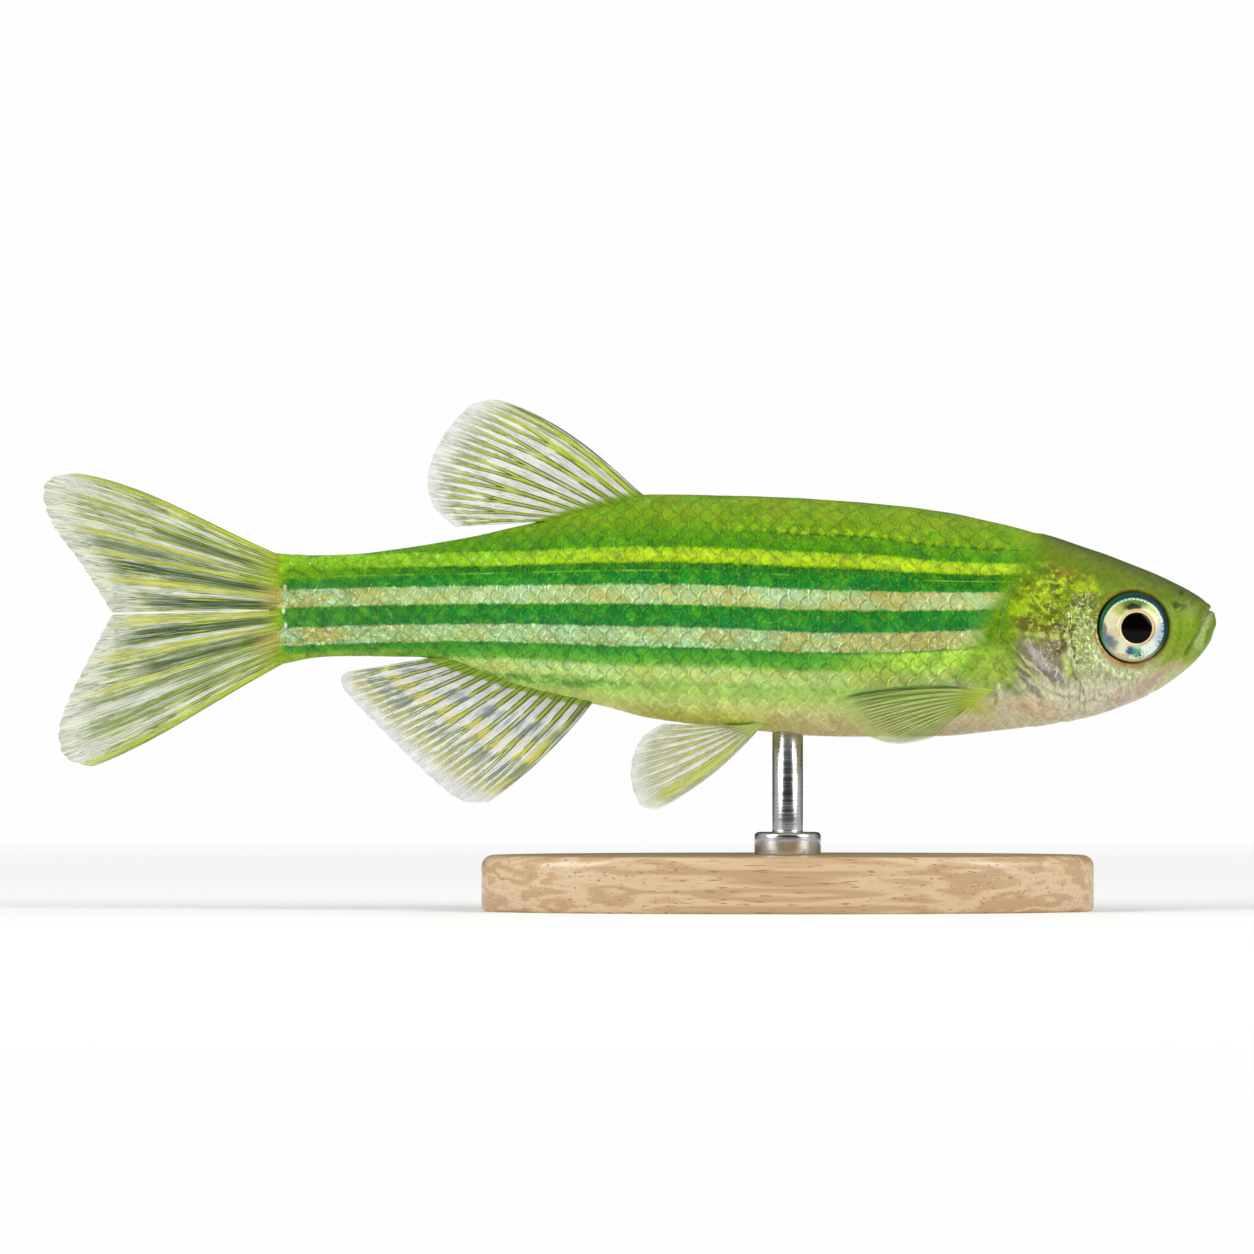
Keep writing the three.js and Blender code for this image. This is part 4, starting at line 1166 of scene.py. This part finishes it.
def painted_eye():
    """The eye's finish in side view: iris with a painted highlight of white dots along its top, its dark ring
    with painted shade at the ball's very edge, the gold rim, and the black pupil.
    """
    finish, tree, shader = new_finish(
        "painted_eye", Specular_IOR_Level=0.08, Coat_Weight=0.05, Coat_Roughness=0.03
    )
    x, _, z = parted(tree, place_in_mm(tree, moved=(-eye_middle[0], 0, -axis_height - eye_middle[1])))
    flat = joined(tree, x, z)
    whole = vector(tree, "LENGTH", flat)
    from_pupil = vector(tree, "SUBTRACT", flat, (*pupil_off, 0))
    ahead, above, _ = parted(tree, from_pupil)
    angle = work_out(tree, "ARCTAN2", above, ahead)
    away = vector(tree, "LENGTH", from_pupil)
    around = vector(tree, "NORMALIZE", from_pupil)
    spun = vector(tree, "MULTIPLY", around, (15, 15, 0))
    depth = joined(tree, 0.0, 0.0, times(tree, away, 2.6))
    fibres = cloudy(tree, vector(tree, "ADD", spun, depth), 1.0, 3.0, 0.65)
    specks = cloudy(tree, place_in_mm(tree, (16, 16, 16)), 1.0, 2.0)

    drawn = stirred(tree, flat, 5.0, 2.0, (0.22, 0.22, 0))
    colour = washed(tree, specks, (226, 222, 188), (232, 234, 208))
    for middle, reach, tilt, solid, tint in iris_patches:
        colour = washed(tree, soft_patch(tree, drawn, middle, reach, tilt, 0.45, solid), colour, tint)
    streak = times(tree, eased(tree, fibres, 0.42, 0.56), eased(tree, away, 0.8, 1.12))
    blue_side = soft_patch(tree, flat, (1.2, -0.2), (0.42, 1.0), 10, 0.6)
    colour = washed(tree, times(tree, streak, blue_side), colour, (40, 78, 118))
    spots = times(tree, eased(tree, specks, 0.5, 0.62), soft_patch(tree, flat, (0.12, -1.12), (0.5, 0.2)))
    colour = washed(tree, spots, colour, (36, 92, 62))
    colour = shaded(tree, colour, eased_straight(tree, fibres, 0.3, 0.7, 0.86, 1.12))

    from_iris = vector(tree, "DISTANCE", flat, (*iris_off, 0))
    # A painted highlight: an arc of small white dots along the top of the iris's edge.
    top = eased(tree, above, 0.2, 0.7)
    beads = eased(tree, work_out(tree, "SINE", times(tree, angle, 46.0)), -0.6, 0.6, 0.35, 1.0)
    arc = times(tree, ridge_node(tree, from_iris, iris_radius - 0.05, 0.035), times(tree, top, beads))
    colour = washed(tree, arc, colour, (224, 246, 214))
    side = eased_straight(tree, angle, -math.pi, math.pi, 0.0, 1.0)
    ring = graded(tree, side, [
        (0.0, (20, 84, 62)), (0.07, (96, 150, 120)), (0.15, (188, 190, 156)),
        (0.28, (176, 178, 152)), (0.37, (92, 120, 98)), (0.43, (24, 58, 84)),
        (0.52, (16, 48, 66)), (0.66, (14, 46, 66)), (0.8, (18, 74, 68)), (0.9, (22, 90, 44)),
        (1.0, (20, 84, 62)),
    ])
    colour = washed(tree, eased(tree, from_iris, iris_radius - 0.025, iris_radius + 0.03), colour, ring)
    # Painted shade: the ball's very edge, where it turns down into the socket, darkened to dark olive.
    colour = washed(tree, eased(tree, whole, ball_radius - 0.03, ball_radius), colour, (40, 52, 22))
    from_gold = vector(tree, "DISTANCE", flat, (*gold_off, 0))
    gold = eased(tree, from_gold, gold_radius + 0.012, gold_radius - 0.02)
    colour = washed(tree, gold, colour, washed(tree, fibres, (232, 216, 154), (214, 188, 122)))
    brown = times(tree, ridge_node(tree, from_gold, gold_radius - 0.05, 0.025), eased(tree, ahead, -0.3, 0.5))
    colour = washed(tree, brown, colour, (196, 146, 84))
    rim = ridge_node(tree, away, pupil_radius + 0.03, 0.03)
    colour = washed(tree, rim, colour, (240, 226, 176))
    black = eased(tree, away, pupil_radius + 0.012, pupil_radius - 0.012)
    colour = washed(tree, black, colour, (0.0012, 0.0012, 0.0016, 1))
    feed(tree, shader, Base_Color=colour, Roughness=eased(tree, black, 0, 1, 0.35, 0.06))
    feed(tree, shader, Metallic=eased(tree, black, 0, 1, 0.25, 0.0))
    raised(tree, shader, times(tree, fibres, work_out(tree, "SUBTRACT", 1.0, black)), 0.02, 0.5)
    return finish


eye_finish = painted_eye()
profile_radius, profile_height = np.array(eye_profile[1:]).T
eye_turns = np.linspace(0, 2 * math.pi, eye_sides, endpoint=False)
drift = smooth_step(ball_radius - 0.1, gold_radius, profile_radius)[:, None]
for side_name, side in both_sides:
    x = eye_middle[0] + pupil_off[0] * drift + profile_radius[:, None] * np.cos(eye_turns)
    z = eye_middle[1] + pupil_off[1] * drift + profile_radius[:, None] * np.sin(eye_turns)
    y = side * (profile_height[:, None] - eye_sunk - eye_lean * (x - eye_middle[0]))
    rings = np.stack([x, y, z], axis=-1).reshape(-1, 3)
    lens_height = eye_profile[0][1] - eye_sunk - eye_lean * pupil_off[0]
    lens_top = (eye_middle[0] + pupil_off[0], side * lens_height, eye_middle[1] + pupil_off[1])
    back = (eye_middle[0], side * (eye_seat - eye_sunk), eye_middle[1])
    faces = closed_faces(len(profile_radius), eye_sides)
    if side < 0:
        faces = [rows[:, ::-1] for rows in faces]
    eyeball = make_piece(
        f"eyeball_{side_name}", np.vstack([rings, lens_top, back]), faces, eye_finish, axis_height
    )
    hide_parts(f"eye_{side_name}")

# The fins.
# Clear webs stretched over soft rays that fork twice on their way to the edge, cast thin in
# tinted resin. Each is rooted in the flesh, and its rays stand out a little on both faces.
web_half = 0.022
ray_rise = 0.04
root_taper = 0.2
root_run = 0.12
edge_notch = 0.007
fin_steps = 60
samples_per_branch = 5
tail_middle = (-13.6, 0.62)
tail_fork = (-20.3, 0.47)
fins = {
    "dorsal": dict(
        root=[(0.55, 5.12), (-1.7, 4.6), (-3.75, 4.05)],
        tips=[(-5.2, 8.88), (-6.3, 8.6), (-7.45, 7.2), (-7.92, 5.85), (-7.7, 4.7), (-6.85, 3.86)],
        wide=0.15, rays=9, bow=0.42, late=1.3, root_half=0.36, sink=0.9,
    ),
    "anal": dict(
        root=[(-1.5, -3.1), (-4.4, -2.45), (-8.05, -1.3)],
        tips=[
            (-5.5, -6.92), (-6.6, -6.86), (-7.7, -6.05), (-9.2, -4.6), (-11, -2.75), (-11.32, -2.1),
            (-11.05, -1.8),
        ],
        wide=0.15, rays=13, bow=-0.2, late=1, root_half=0.36, sink=0.8,
    ),
    "tail_upper": dict(
        root=[(-13.3, 2.6), (-13.6, 1.9), tail_middle],
        tips=[
            (-21.7, 5.98), (-22.7, 5.78), (-23, 5.12), (-22.6, 3.9), (-21.5, 2.4),
            (tail_fork[0], tail_fork[1] + 0.03),
        ],
        wide=0.16, rays=13, bow=0.3, late=2.2, root_half=0.3, sink=0.9,
    ),
    "tail_lower": dict(
        root=[(-13.3, -1.35), (-13.6, -0.7), (tail_middle[0], tail_middle[1] - 0.02)],
        tips=[
            (-21.1, -5.55), (-22.1, -5.2), (-22.4, -4.3), (-22.15, -3.25), (-21.5, -1.85),
            (tail_fork[0], tail_fork[1] - 0.03),
        ],
        wide=0.16, rays=13, bow=-0.17, late=2.4, root_half=0.3, sink=0.9,
    ),
    "pectoral": dict(
        root=[(14.1, -2.5), (13.45, -3.0), (12.85, -3.5)],
        tips=[(8.05, -2.8), (7.98, -3.15), (8.5, -3.8), (9.5, -4.4), (10.55, -4.62), (11.8, -4.4)],
        wide=0.16, rays=13, bow=0.3, late=1, root_half=0.34, sink=0.35, off=2.22, taper=-0.55, splay=26,
        inward=0.7,
    ),
    "pelvic": dict(
        root=[(5.02, -4.12), (4.4, -4.0), (3.8, -3.9)],
        tips=[(1.1, -7.2), (0.45, -7.05), (0.08, -6.2), (0.1, -5.3), (0.5, -4.4), (1.3, -3.86)],
        wide=0.15, rays=8, bow=-0.24, late=1, root_half=0.32, sink=0.8, off=0.8, taper=0.1, splay=20,
        inward=0.2,
    ),
}


def ray_lines(s, t, rays, wide):
    """How far each point of a fin lies from the nearest branch, in widths of that branch, with its
    place across its ray and the ray's number."""
    spot = s * rays
    cell = np.clip(np.floor(spot), 0, rays - 1)
    across = spot - cell - 0.5
    first = 0.24 * smooth_step(0.3, 0.75, t)
    second = 0.12 * smooth_step(0.58, 0.95, t)
    away = np.abs(np.abs(np.abs(across) - first) - second)
    width = wide * (1 - 0.65 * smooth_step(0.0, 0.8, t))
    return away / width, across, cell


def fin_surface(spec, s, t):
    """Points of a fin's middle sheet: s runs from its front ray to its last, t from root to edge."""
    ends = np.linspace(0, 1, 240)
    root_line = even_line(spec["root"], 240)
    tip_line = even_line(spec["tips"], 240)
    root = np.stack([np.interp(s, ends, root_line[:, k]) for k in (0, 1)], axis=-1)
    tip = np.stack([np.interp(s, ends, tip_line[:, k]) for k in (0, 1)], axis=-1)
    along = tip - root
    length = np.linalg.norm(along, axis=-1)
    across = np.stack([along[..., 1], -along[..., 0]], axis=-1) / length[..., None]
    late = spec["late"]
    peak = late / (late + 1)
    inside = np.clip(t, 0, 1)
    swell = inside ** late * (1 - inside) / (peak ** late * (1 - peak))
    buried = np.clip(-t, 0, 1) / root_run
    reach = np.where(t < 0, -buried * spec["sink"] / length, t)
    flat = root + along * reach[..., None] + across * (spec["bow"] * (1 - s) ** 1.5 * swell)[..., None]
    out = spec.get("off", 0) + spec.get("taper", 0) * s
    out = out + math.tan(math.radians(spec.get("splay", 0))) * length * np.clip(reach, 0, 1)
    out = out - spec.get("inward", 0) * buried
    ripple = 0.05 * np.sin(s * 9 + t * 2) * smooth_step(0.3, 1, t)
    return np.stack([flat[..., 0], out + ripple, flat[..., 1]], axis=-1)


def make_fin(name, kind, replaced, side=-1):
    """One fin as a closed sheet with its rays in relief on both faces."""
    spec = fins[kind]
    rays = spec["rays"]
    s = np.linspace(0, 1, rays * 4 * samples_per_branch + 1)
    t = np.concatenate([[-root_run, -root_run / 2], np.linspace(0, 1, fin_steps)])
    t_grid, s_grid = np.meshgrid(t, s, indexing="ij")
    away, across, cell = ray_lines(s_grid, t_grid, rays, spec["wide"])
    notch = 1 - edge_notch * smooth_step(0.8, 1, t_grid) * (2 * across) ** 2
    middle = fin_surface(spec, s_grid, np.where(t_grid > 0, t_grid * notch, t_grid))
    fleshy = 1 - np.clip(t_grid / root_taper, 0, 1)
    brow = np.sqrt(np.clip(s_grid * (2 - s_grid), 0, 1)) if kind.startswith("tail") else 1.0
    half = web_half + (spec["root_half"] * brow - web_half) * fleshy ** 2
    rise = ray_rise * (1 - 0.55 * smooth_step(0, 1, t_grid)) * smooth_step(1.5, 0.3, away)
    half = half + rise * (1 - 0.6 * fleshy) - 0.008 * smooth_step(0.9, 1, t_grid)
    thin_side = smooth_step(0, 0.015, s_grid) * smooth_step(1, 0.985, s_grid)
    half = half * (0.35 + 0.65 * thin_side)
    near = middle - np.stack([0 * half, half, 0 * half], axis=-1)
    far = middle + np.stack([0 * half, half, 0 * half], axis=-1)
    rings = np.concatenate([near, far[:, ::-1]], axis=1)
    rows, columns = len(t), len(s)
    faces = [ring_faces(rows, 2 * columns)]
    i = np.arange(columns - 1)
    for row in (0, rows - 1):
        strip = np.stack([i, i + 1, 2 * columns - 2 - i, 2 * columns - 1 - i], axis=1) + row * 2 * columns
        faces.append(strip if row else strip[:, ::-1])
    ahead = middle[rows // 2, columns // 2 + 1] - middle[rows // 2, columns // 2]
    up = middle[rows // 2 + 1, columns // 2] - middle[rows // 2, columns // 2]
    wrong_way = ahead[2] * up[0] - ahead[0] * up[2] > 0
    if "off" in spec and side < 0:
        rings = rings * (1, -1, 1)
        wrong_way = not wrong_way
    if wrong_way:
        faces = [f[:, ::-1] for f in faces]
    piece = make_piece(name, rings.reshape(-1, 3), faces, webs[kind], axis_height)
    for map_name, values in (("fin_run", (s_grid, t_grid)), ("fin_ray", (away, cell / rays))):
        grid = np.stack(values, axis=-1)
        add_maps(piece, **{map_name: np.concatenate([grid, grid[:, ::-1]], axis=1)})
    for node in replaced:
        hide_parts(node)


def fin_web(name, look):
    """A fin's finish: clear web, tinted rays with dark edges, streaks along them, and bands."""
    finish, tree, shader = new_finish(name, Roughness=0.42, Specular_IOR_Level=0.25)
    s, t, _ = parted(tree, add_node(tree, "UVMap", uv_map="fin_run").outputs[0])
    away, _, _ = parted(tree, add_node(tree, "UVMap", uv_map="fin_ray").outputs[0])

    def streaks(across, along, seed):
        """Soft random grain drawn out along the rays."""
        spot = joined(tree, times(tree, s, across), times(tree, t, along), seed)
        return cloudy(tree, spot, 1.0, 2.0, 0.5)

    def most(first, second):
        """The greater of two shares."""
        return work_out(tree, "MAXIMUM", first, second)

    fine = streaks(look["fine"], 3.5, 1.0)
    broad = streaks(look["broad"], 2.4, 7.0)
    patches = streaks(look["broad"] * 0.7, 7.0, 3.0)
    web = graded(tree, eased_straight(tree, fine, 0.36, 0.64, 0, 1), look["web"])
    fading = eased(tree, t, *look["ray_fade"])
    worn = eased(tree, broad, 0.3, 0.5, look["ray_least"], 1.0)
    core = times(tree, eased(tree, away, 1.15, 0.75), fading, worn)
    colour = washed(tree, core, web, graded(tree, t, look["ray"]))
    thinner = eased(tree, t, 1.0, 0.5, look["line_tip"], look["line_root"])
    line = times(tree, ridge_node(tree, away, 1.25, 0.42), eased(tree, patches, 0.26, 0.46), thinner)
    wander = work_out(tree, "MULTIPLY_ADD", broad, look["wander"], s)
    place = work_out(tree, "SUBTRACT", wander, look["wander"] / 2)
    root = eased(tree, work_out(tree, "MULTIPLY_ADD", broad, 0.1, t), look["root_end"] + 0.13, 0.06)
    colour = washed(tree, root, colour, look["root"])
    for middle, width, tint in look["heels"]:
        share = times(tree, ridge_node(tree, place, middle, width), eased(tree, t, 0.17, 0.08), 0.85)
        colour = washed(tree, share, colour, tint)
    line = times(tree, line, eased(tree, root, 0.0, 1.0, 1.0, look["line_flesh"]))
    colour = washed(tree, line, colour, look["line"])
    hair = most(ridge_node(tree, fine, 0.44, 0.03), ridge_node(tree, fine, 0.58, 0.025))
    hair = times(tree, hair, look["hair"], eased(tree, patches, 0.36, 0.52))
    colour = washed(tree, hair, colour, look["line"])
    hair = times(tree, hair, eased(tree, root, 1.0, 0.0))
    solid = most(most(times(tree, core, 0.9), line), hair)
    for middle, width, first, last, strength, tint in look["bands"]:
        share = times(
            tree, ridge_node(tree, place, middle, width), strength, eased(tree, fine, 0.34, 0.5),
            eased(tree, t, first - 0.08, first + 0.08), eased(tree, t, last + 0.12, last - 0.12),
            eased(tree, hair, 0.0, 1.0, 1.0, 0.5),
        )
        colour = washed(tree, share, colour, tint)
        solid = most(solid, share)
    for middle, width, strength, tint in look["rows"]:
        level = work_out(tree, "MULTIPLY_ADD", patches, 0.3, t)
        share = times(
            tree, ridge_node(tree, level, middle + 0.15, width), strength,
            eased(tree, broad, 0.42, 0.56), eased(tree, fine, 0.3, 0.5),
        )
        colour = washed(tree, share, colour, tint)
        solid = most(solid, times(tree, share, 0.8))
    solid = most(solid, root)
    clear = eased(tree, t, 0.0, 1.0, look["web_root"], look["web_tip"])
    clear = times(tree, clear, eased_straight(tree, fine, 0.3, 0.7, 0.8, 1.2))
    solid = times(tree, solid, eased(tree, t, 0.75, 1.02, 0.97, look["tip_solid"]))
    feed(tree, shader, Base_Color=colour, Alpha=most(clear, solid))
    joints = work_out(tree, "SINE", times(tree, t, look["joints"]))
    raised(tree, shader, times(tree, joints, core), 0.01, 0.5)
    return finish


# A look's own values: streaks across the fin (fine and broad), how far the bands stray (wander),
# and colours as (share along, colour). A band: its middle and width across the fin, where it
# starts and ends from root to edge, how strong it is, and its colour. A row runs across the rays.
lime_web = dict(
    fine=150.0, broad=22.0, wander=0.05, joints=420.0, hair=0.45, line_flesh=0.6, tip_solid=0.6,
    web=[(0, (168, 178, 124)), (0.45, (216, 222, 184)), (1, (186, 194, 132))],
    ray_fade=(1.05, 0.6), ray_least=0.4, line_tip=0.6, line_root=0.95, line=(78, 98, 26),
    ray=[(0, (150, 176, 24)), (0.25, (186, 204, 34)), (0.6, (196, 208, 58)), (1, (180, 188, 116))],
    bands=[], rows=[], heels=[], root=(124, 160, 18), root_end=0.0, web_root=0.62, web_tip=0.42,
)
dark_green = (30, 72, 26)
dark_grey = (84, 108, 74)
bright_yellow = (206, 212, 30)
soft_yellow = (214, 214, 84)
near_white = (238, 238, 232)
tail_web = dict(
    lime_web, fine=105.0, broad=34.0, wander=0.07, ray_least=0.35, root=(176, 200, 44), root_end=0.15,
    hair=0.85, line_flesh=0.4, web_root=0.85, web_tip=0.28, ray_fade=(1.08, 0.8), line_tip=0.3,
)
looks = {
    "dorsal": dict(
        lime_web, fine=80.0, hair=0.6, ray_least=0.75, line=(64, 86, 18), line_root=1.0, line_tip=0.45,
        web=[(0, (196, 204, 160)), (0.45, (234, 236, 224)), (1, (208, 214, 172))],
        ray_fade=(1.08, 0.82), web_root=0.5, web_tip=0.2,
        bands=[
            (0.01, 0.022, 0.0, 0.95, 0.95, (84, 110, 34)), (0.055, 0.018, 0.05, 0.95, 0.85, bright_yellow),
            (0.1, 0.012, 0.1, 0.9, 0.7, (120, 146, 30)), (0.14, 0.02, 0.1, 0.9, 0.8, bright_yellow),
        ],
    ),
    "anal": dict(
        lime_web, fine=110.0, broad=30.0, root=(142, 176, 34), root_end=-0.03,
        web=[(0, (186, 192, 160)), (0.45, (234, 235, 230)), (1, (204, 208, 176))], hair=0.5,
        ray_least=0.6, line=(66, 88, 40), line_root=1.0, line_tip=0.6, web_root=0.48, web_tip=0.22,
        line_flesh=0.9, ray_fade=(1.08, 0.75),
        bands=[
            (0.01, 0.03, 0.0, 0.9, 0.85, (104, 124, 60)), (0.05, 0.03, 0.2, 0.95, 0.8, (196, 200, 50)),
        ],
        rows=[
            (0.3, 0.09, 0.85, (112, 132, 140)), (0.5, 0.07, 0.7, (232, 212, 110)),
            (0.66, 0.09, 0.75, (108, 126, 122)), (0.84, 0.06, 0.6, (226, 210, 124)),
        ],
    ),
    "tail_upper": dict(
        tail_web, heels=[(0.79, 0.17, (206, 184, 100))],
        web=[
            (0, (120, 150, 78)), (0.35, (190, 208, 116)), (0.52, (250, 250, 240)),
            (0.75, (214, 222, 112)), (1, (146, 170, 60)),
        ],
        bands=[
            (0.03, 0.035, 0.1, 1.05, 1.0, (202, 208, 20)), (0.0, 0.014, 0.0, 1.0, 0.8, (86, 120, 30)),
            (0.16, 0.02, 0.25, 0.95, 0.8, near_white), (0.22, 0.03, 0.2, 0.9, 0.5, (150, 176, 40)),
            (0.3, 0.04, 0.12, 0.5, 0.85, dark_green), (0.38, 0.02, 0.2, 0.95, 0.8, near_white),
            (0.42, 0.025, 0.3, 0.95, 0.8, soft_yellow), (0.5, 0.05, 0.3, 0.9, 0.75, dark_grey),
            (0.57, 0.02, 0.15, 0.95, 0.85, bright_yellow), (0.66, 0.055, 0.08, 0.85, 0.95, dark_green),
            (0.77, 0.03, 0.06, 0.95, 0.85, soft_yellow), (0.83, 0.02, 0.1, 0.9, 0.7, near_white),
            (0.92, 0.05, 0.08, 0.8, 0.95, dark_green),
        ],
    ),
    "tail_lower": dict(
        tail_web, heels=[(0.46, 0.17, (206, 192, 104))],
        web=[
            (0, (114, 146, 66)), (0.35, (186, 206, 102)), (0.52, (248, 250, 234)),
            (0.75, (210, 220, 98)), (1, (138, 166, 52)),
        ],
        bands=[
            (0.03, 0.035, 0.1, 1.05, 1.0, (196, 208, 24)), (0.0, 0.014, 0.0, 1.0, 0.8, (86, 120, 30)),
            (0.15, 0.02, 0.2, 0.95, 0.8, near_white), (0.24, 0.05, 0.2, 0.9, 0.6, (110, 140, 50)),
            (0.33, 0.025, 0.15, 0.95, 0.8, near_white), (0.4, 0.04, 0.2, 0.95, 0.6, (120, 140, 84)),
            (0.48, 0.02, 0.3, 0.95, 0.7, soft_yellow), (0.56, 0.045, 0.08, 0.7, 0.9, dark_green),
            (0.63, 0.02, 0.2, 0.95, 0.7, dark_grey), (0.71, 0.03, 0.1, 0.95, 0.9, soft_yellow),
            (0.76, 0.02, 0.1, 0.8, 0.8, near_white), (0.84, 0.05, 0.06, 0.85, 0.95, dark_green),
            (0.95, 0.035, 0.06, 0.95, 0.85, soft_yellow),
        ],
    ),
    "pectoral": dict(
        lime_web, fine=120.0, broad=20.0, root=(200, 218, 84), root_end=0.2, web_root=0.55, web_tip=0.28,
        web=[(0, (176, 200, 96)), (0.5, (204, 220, 130)), (1, (184, 206, 104))],
        line=(84, 112, 34), line_root=0.5, line_tip=0.4, ray_least=0.6, ray_fade=(1.1, 0.7), hair=0.2,
        ray=[(0, (160, 196, 44)), (0.35, (92, 124, 36)), (1, (96, 122, 70))],
        bands=[(0.015, 0.035, 0.16, 0.95, 0.95, (48, 82, 24)), (0.1, 0.02, 0.24, 0.9, 0.55, (66, 98, 30))],
    ),
    "pelvic": dict(
        lime_web, fine=60.0, broad=16.0, root=(188, 206, 110), root_end=0.04, web_root=0.26, web_tip=0.14,
        web=[(0, (196, 204, 158)), (0.45, (234, 236, 222)), (1, (208, 214, 166))],
        ray_least=0.5, line_root=0.7, line_tip=0.35, line=(120, 134, 84), hair=0.4, ray_fade=(1.08, 0.75),
        ray=[(0, (190, 204, 70)), (0.4, (206, 212, 84)), (1, (214, 214, 190))],
        bands=[(0.14, 0.05, 0.1, 0.9, 0.8, (198, 206, 46)), (0.03, 0.04, 0.0, 0.95, 0.6, (170, 176, 150))],
    ),
}
webs = {kind: fin_web(f"{kind}_web", look) for kind, look in looks.items()}
make_fin("dorsal_web", "dorsal", ["dorsal_fin"])
make_fin("anal_web", "anal", ["anal_fin"])
make_fin("tail_web_upper", "tail_upper", ["tail_fin_upper_lobe"])
make_fin("tail_web_lower", "tail_lower", ["tail_fin_lower_lobe"])
for side_name, side in both_sides:
    make_fin(f"pectoral_web_{side_name}", "pectoral", [f"pectoral_fin_{side_name}"], side)
    make_fin(f"pelvic_web_{side_name}", "pelvic", [f"pelvic_fin_{side_name}"], side)

# The studio.
# A plain white sweep: a matt floor under the base that runs out to an even white all round, two
# large soft lamps above and in front, one to each side, and white light from everywhere else.
white_light = 0.99
sweep_grey = (0.9, 0.9, 0.9, 1)
sweep_radius = 2.6
sweep_matt = (0.07, 0.2)
lamp_size = 0.45
lamp_distance = 0.7
lamp_powers = {-60: 3.35, 60: 3.1}
lamp_rise = 25
sky_light = 0.6
overhead_light = 0.25
dark_side_light = 0.03


def sweep_white():
    """Matt under the base, and lit evenly from within farther out, where the lamps don't reach."""
    finish, tree, shader = new_finish(
        "sweep_white", Roughness=0.9, Specular_IOR_Level=0.0, Emission_Color=(*[white_light] * 3, 1)
    )
    away = vector(tree, "LENGTH", add_node(tree, "TexCoord").outputs["Object"])
    lit = eased(tree, away, *sweep_matt)
    feed(tree, shader, Base_Color=shaded(tree, sweep_grey, work_out(tree, "SUBTRACT", 1.0, lit)))
    seen = add_node(tree, "LightPath").outputs["Is Camera Ray"]
    feed(tree, shader, Emission_Strength=times(tree, lit, eased(tree, seen, 0, 1, 0.3, 1.0)))
    return finish


sweep_mesh = bpy.data.meshes.new("sweep")
sweep_angles = np.linspace(0, 2 * math.pi, 96, endpoint=False)
sweep_points = [(sweep_radius * math.cos(a), sweep_radius * math.sin(a), 0) for a in sweep_angles]
sweep_mesh.from_pydata(sweep_points, [], [list(range(len(sweep_points)))])
sweep_mesh.materials.append(sweep_white())
sweep = bpy.data.objects.new("sweep", sweep_mesh)
bpy.context.scene.collection.objects.link(sweep)

lamp_out = lamp_distance * math.cos(math.radians(lamp_rise))
lamp_up = axis_height * mm + lamp_distance * math.sin(math.radians(lamp_rise))
for turn, power in lamp_powers.items():
    lamp_data = bpy.data.lights.new(f"lamp_{turn}", "AREA")
    lamp_data.shape = "DISK"
    lamp_data.size = lamp_size
    lamp_data.energy = power
    lamp = bpy.data.objects.new(f"lamp_{turn}", lamp_data)
    lamp.location = (
        lamp_out * math.sin(math.radians(turn)),
        -lamp_out * math.cos(math.radians(turn)),
        lamp_up,
    )
    lamp.rotation_euler = (math.radians(90 - lamp_rise), 0, math.radians(turn))
    bpy.context.scene.collection.objects.link(lamp)

surroundings = bpy.data.worlds.new("surroundings")
surroundings.use_nodes = True
sky = surroundings.node_tree
backing = sky.nodes["Background"]
backing.inputs["Color"].default_value = (1, 1, 1, 1)
_, sideways, upwards = parted(sky, add_node(sky, "TexCoord").outputs["Generated"])
room = eased(sky, work_out(sky, "ABSOLUTE", sideways), 0.9, 0.2, dark_side_light, sky_light)
room = work_out(sky, "ADD", room, eased(sky, upwards, 0.3, 0.9, 0.0, overhead_light))
seen = add_node(sky, "LightPath").outputs["Is Camera Ray"]
shown = add_node(sky, "Mix", {0: seen, 2: room, 3: white_light}, data_type="FLOAT").outputs[0]
sky.links.new(shown, backing.inputs["Strength"])
bpy.context.scene.world = surroundings
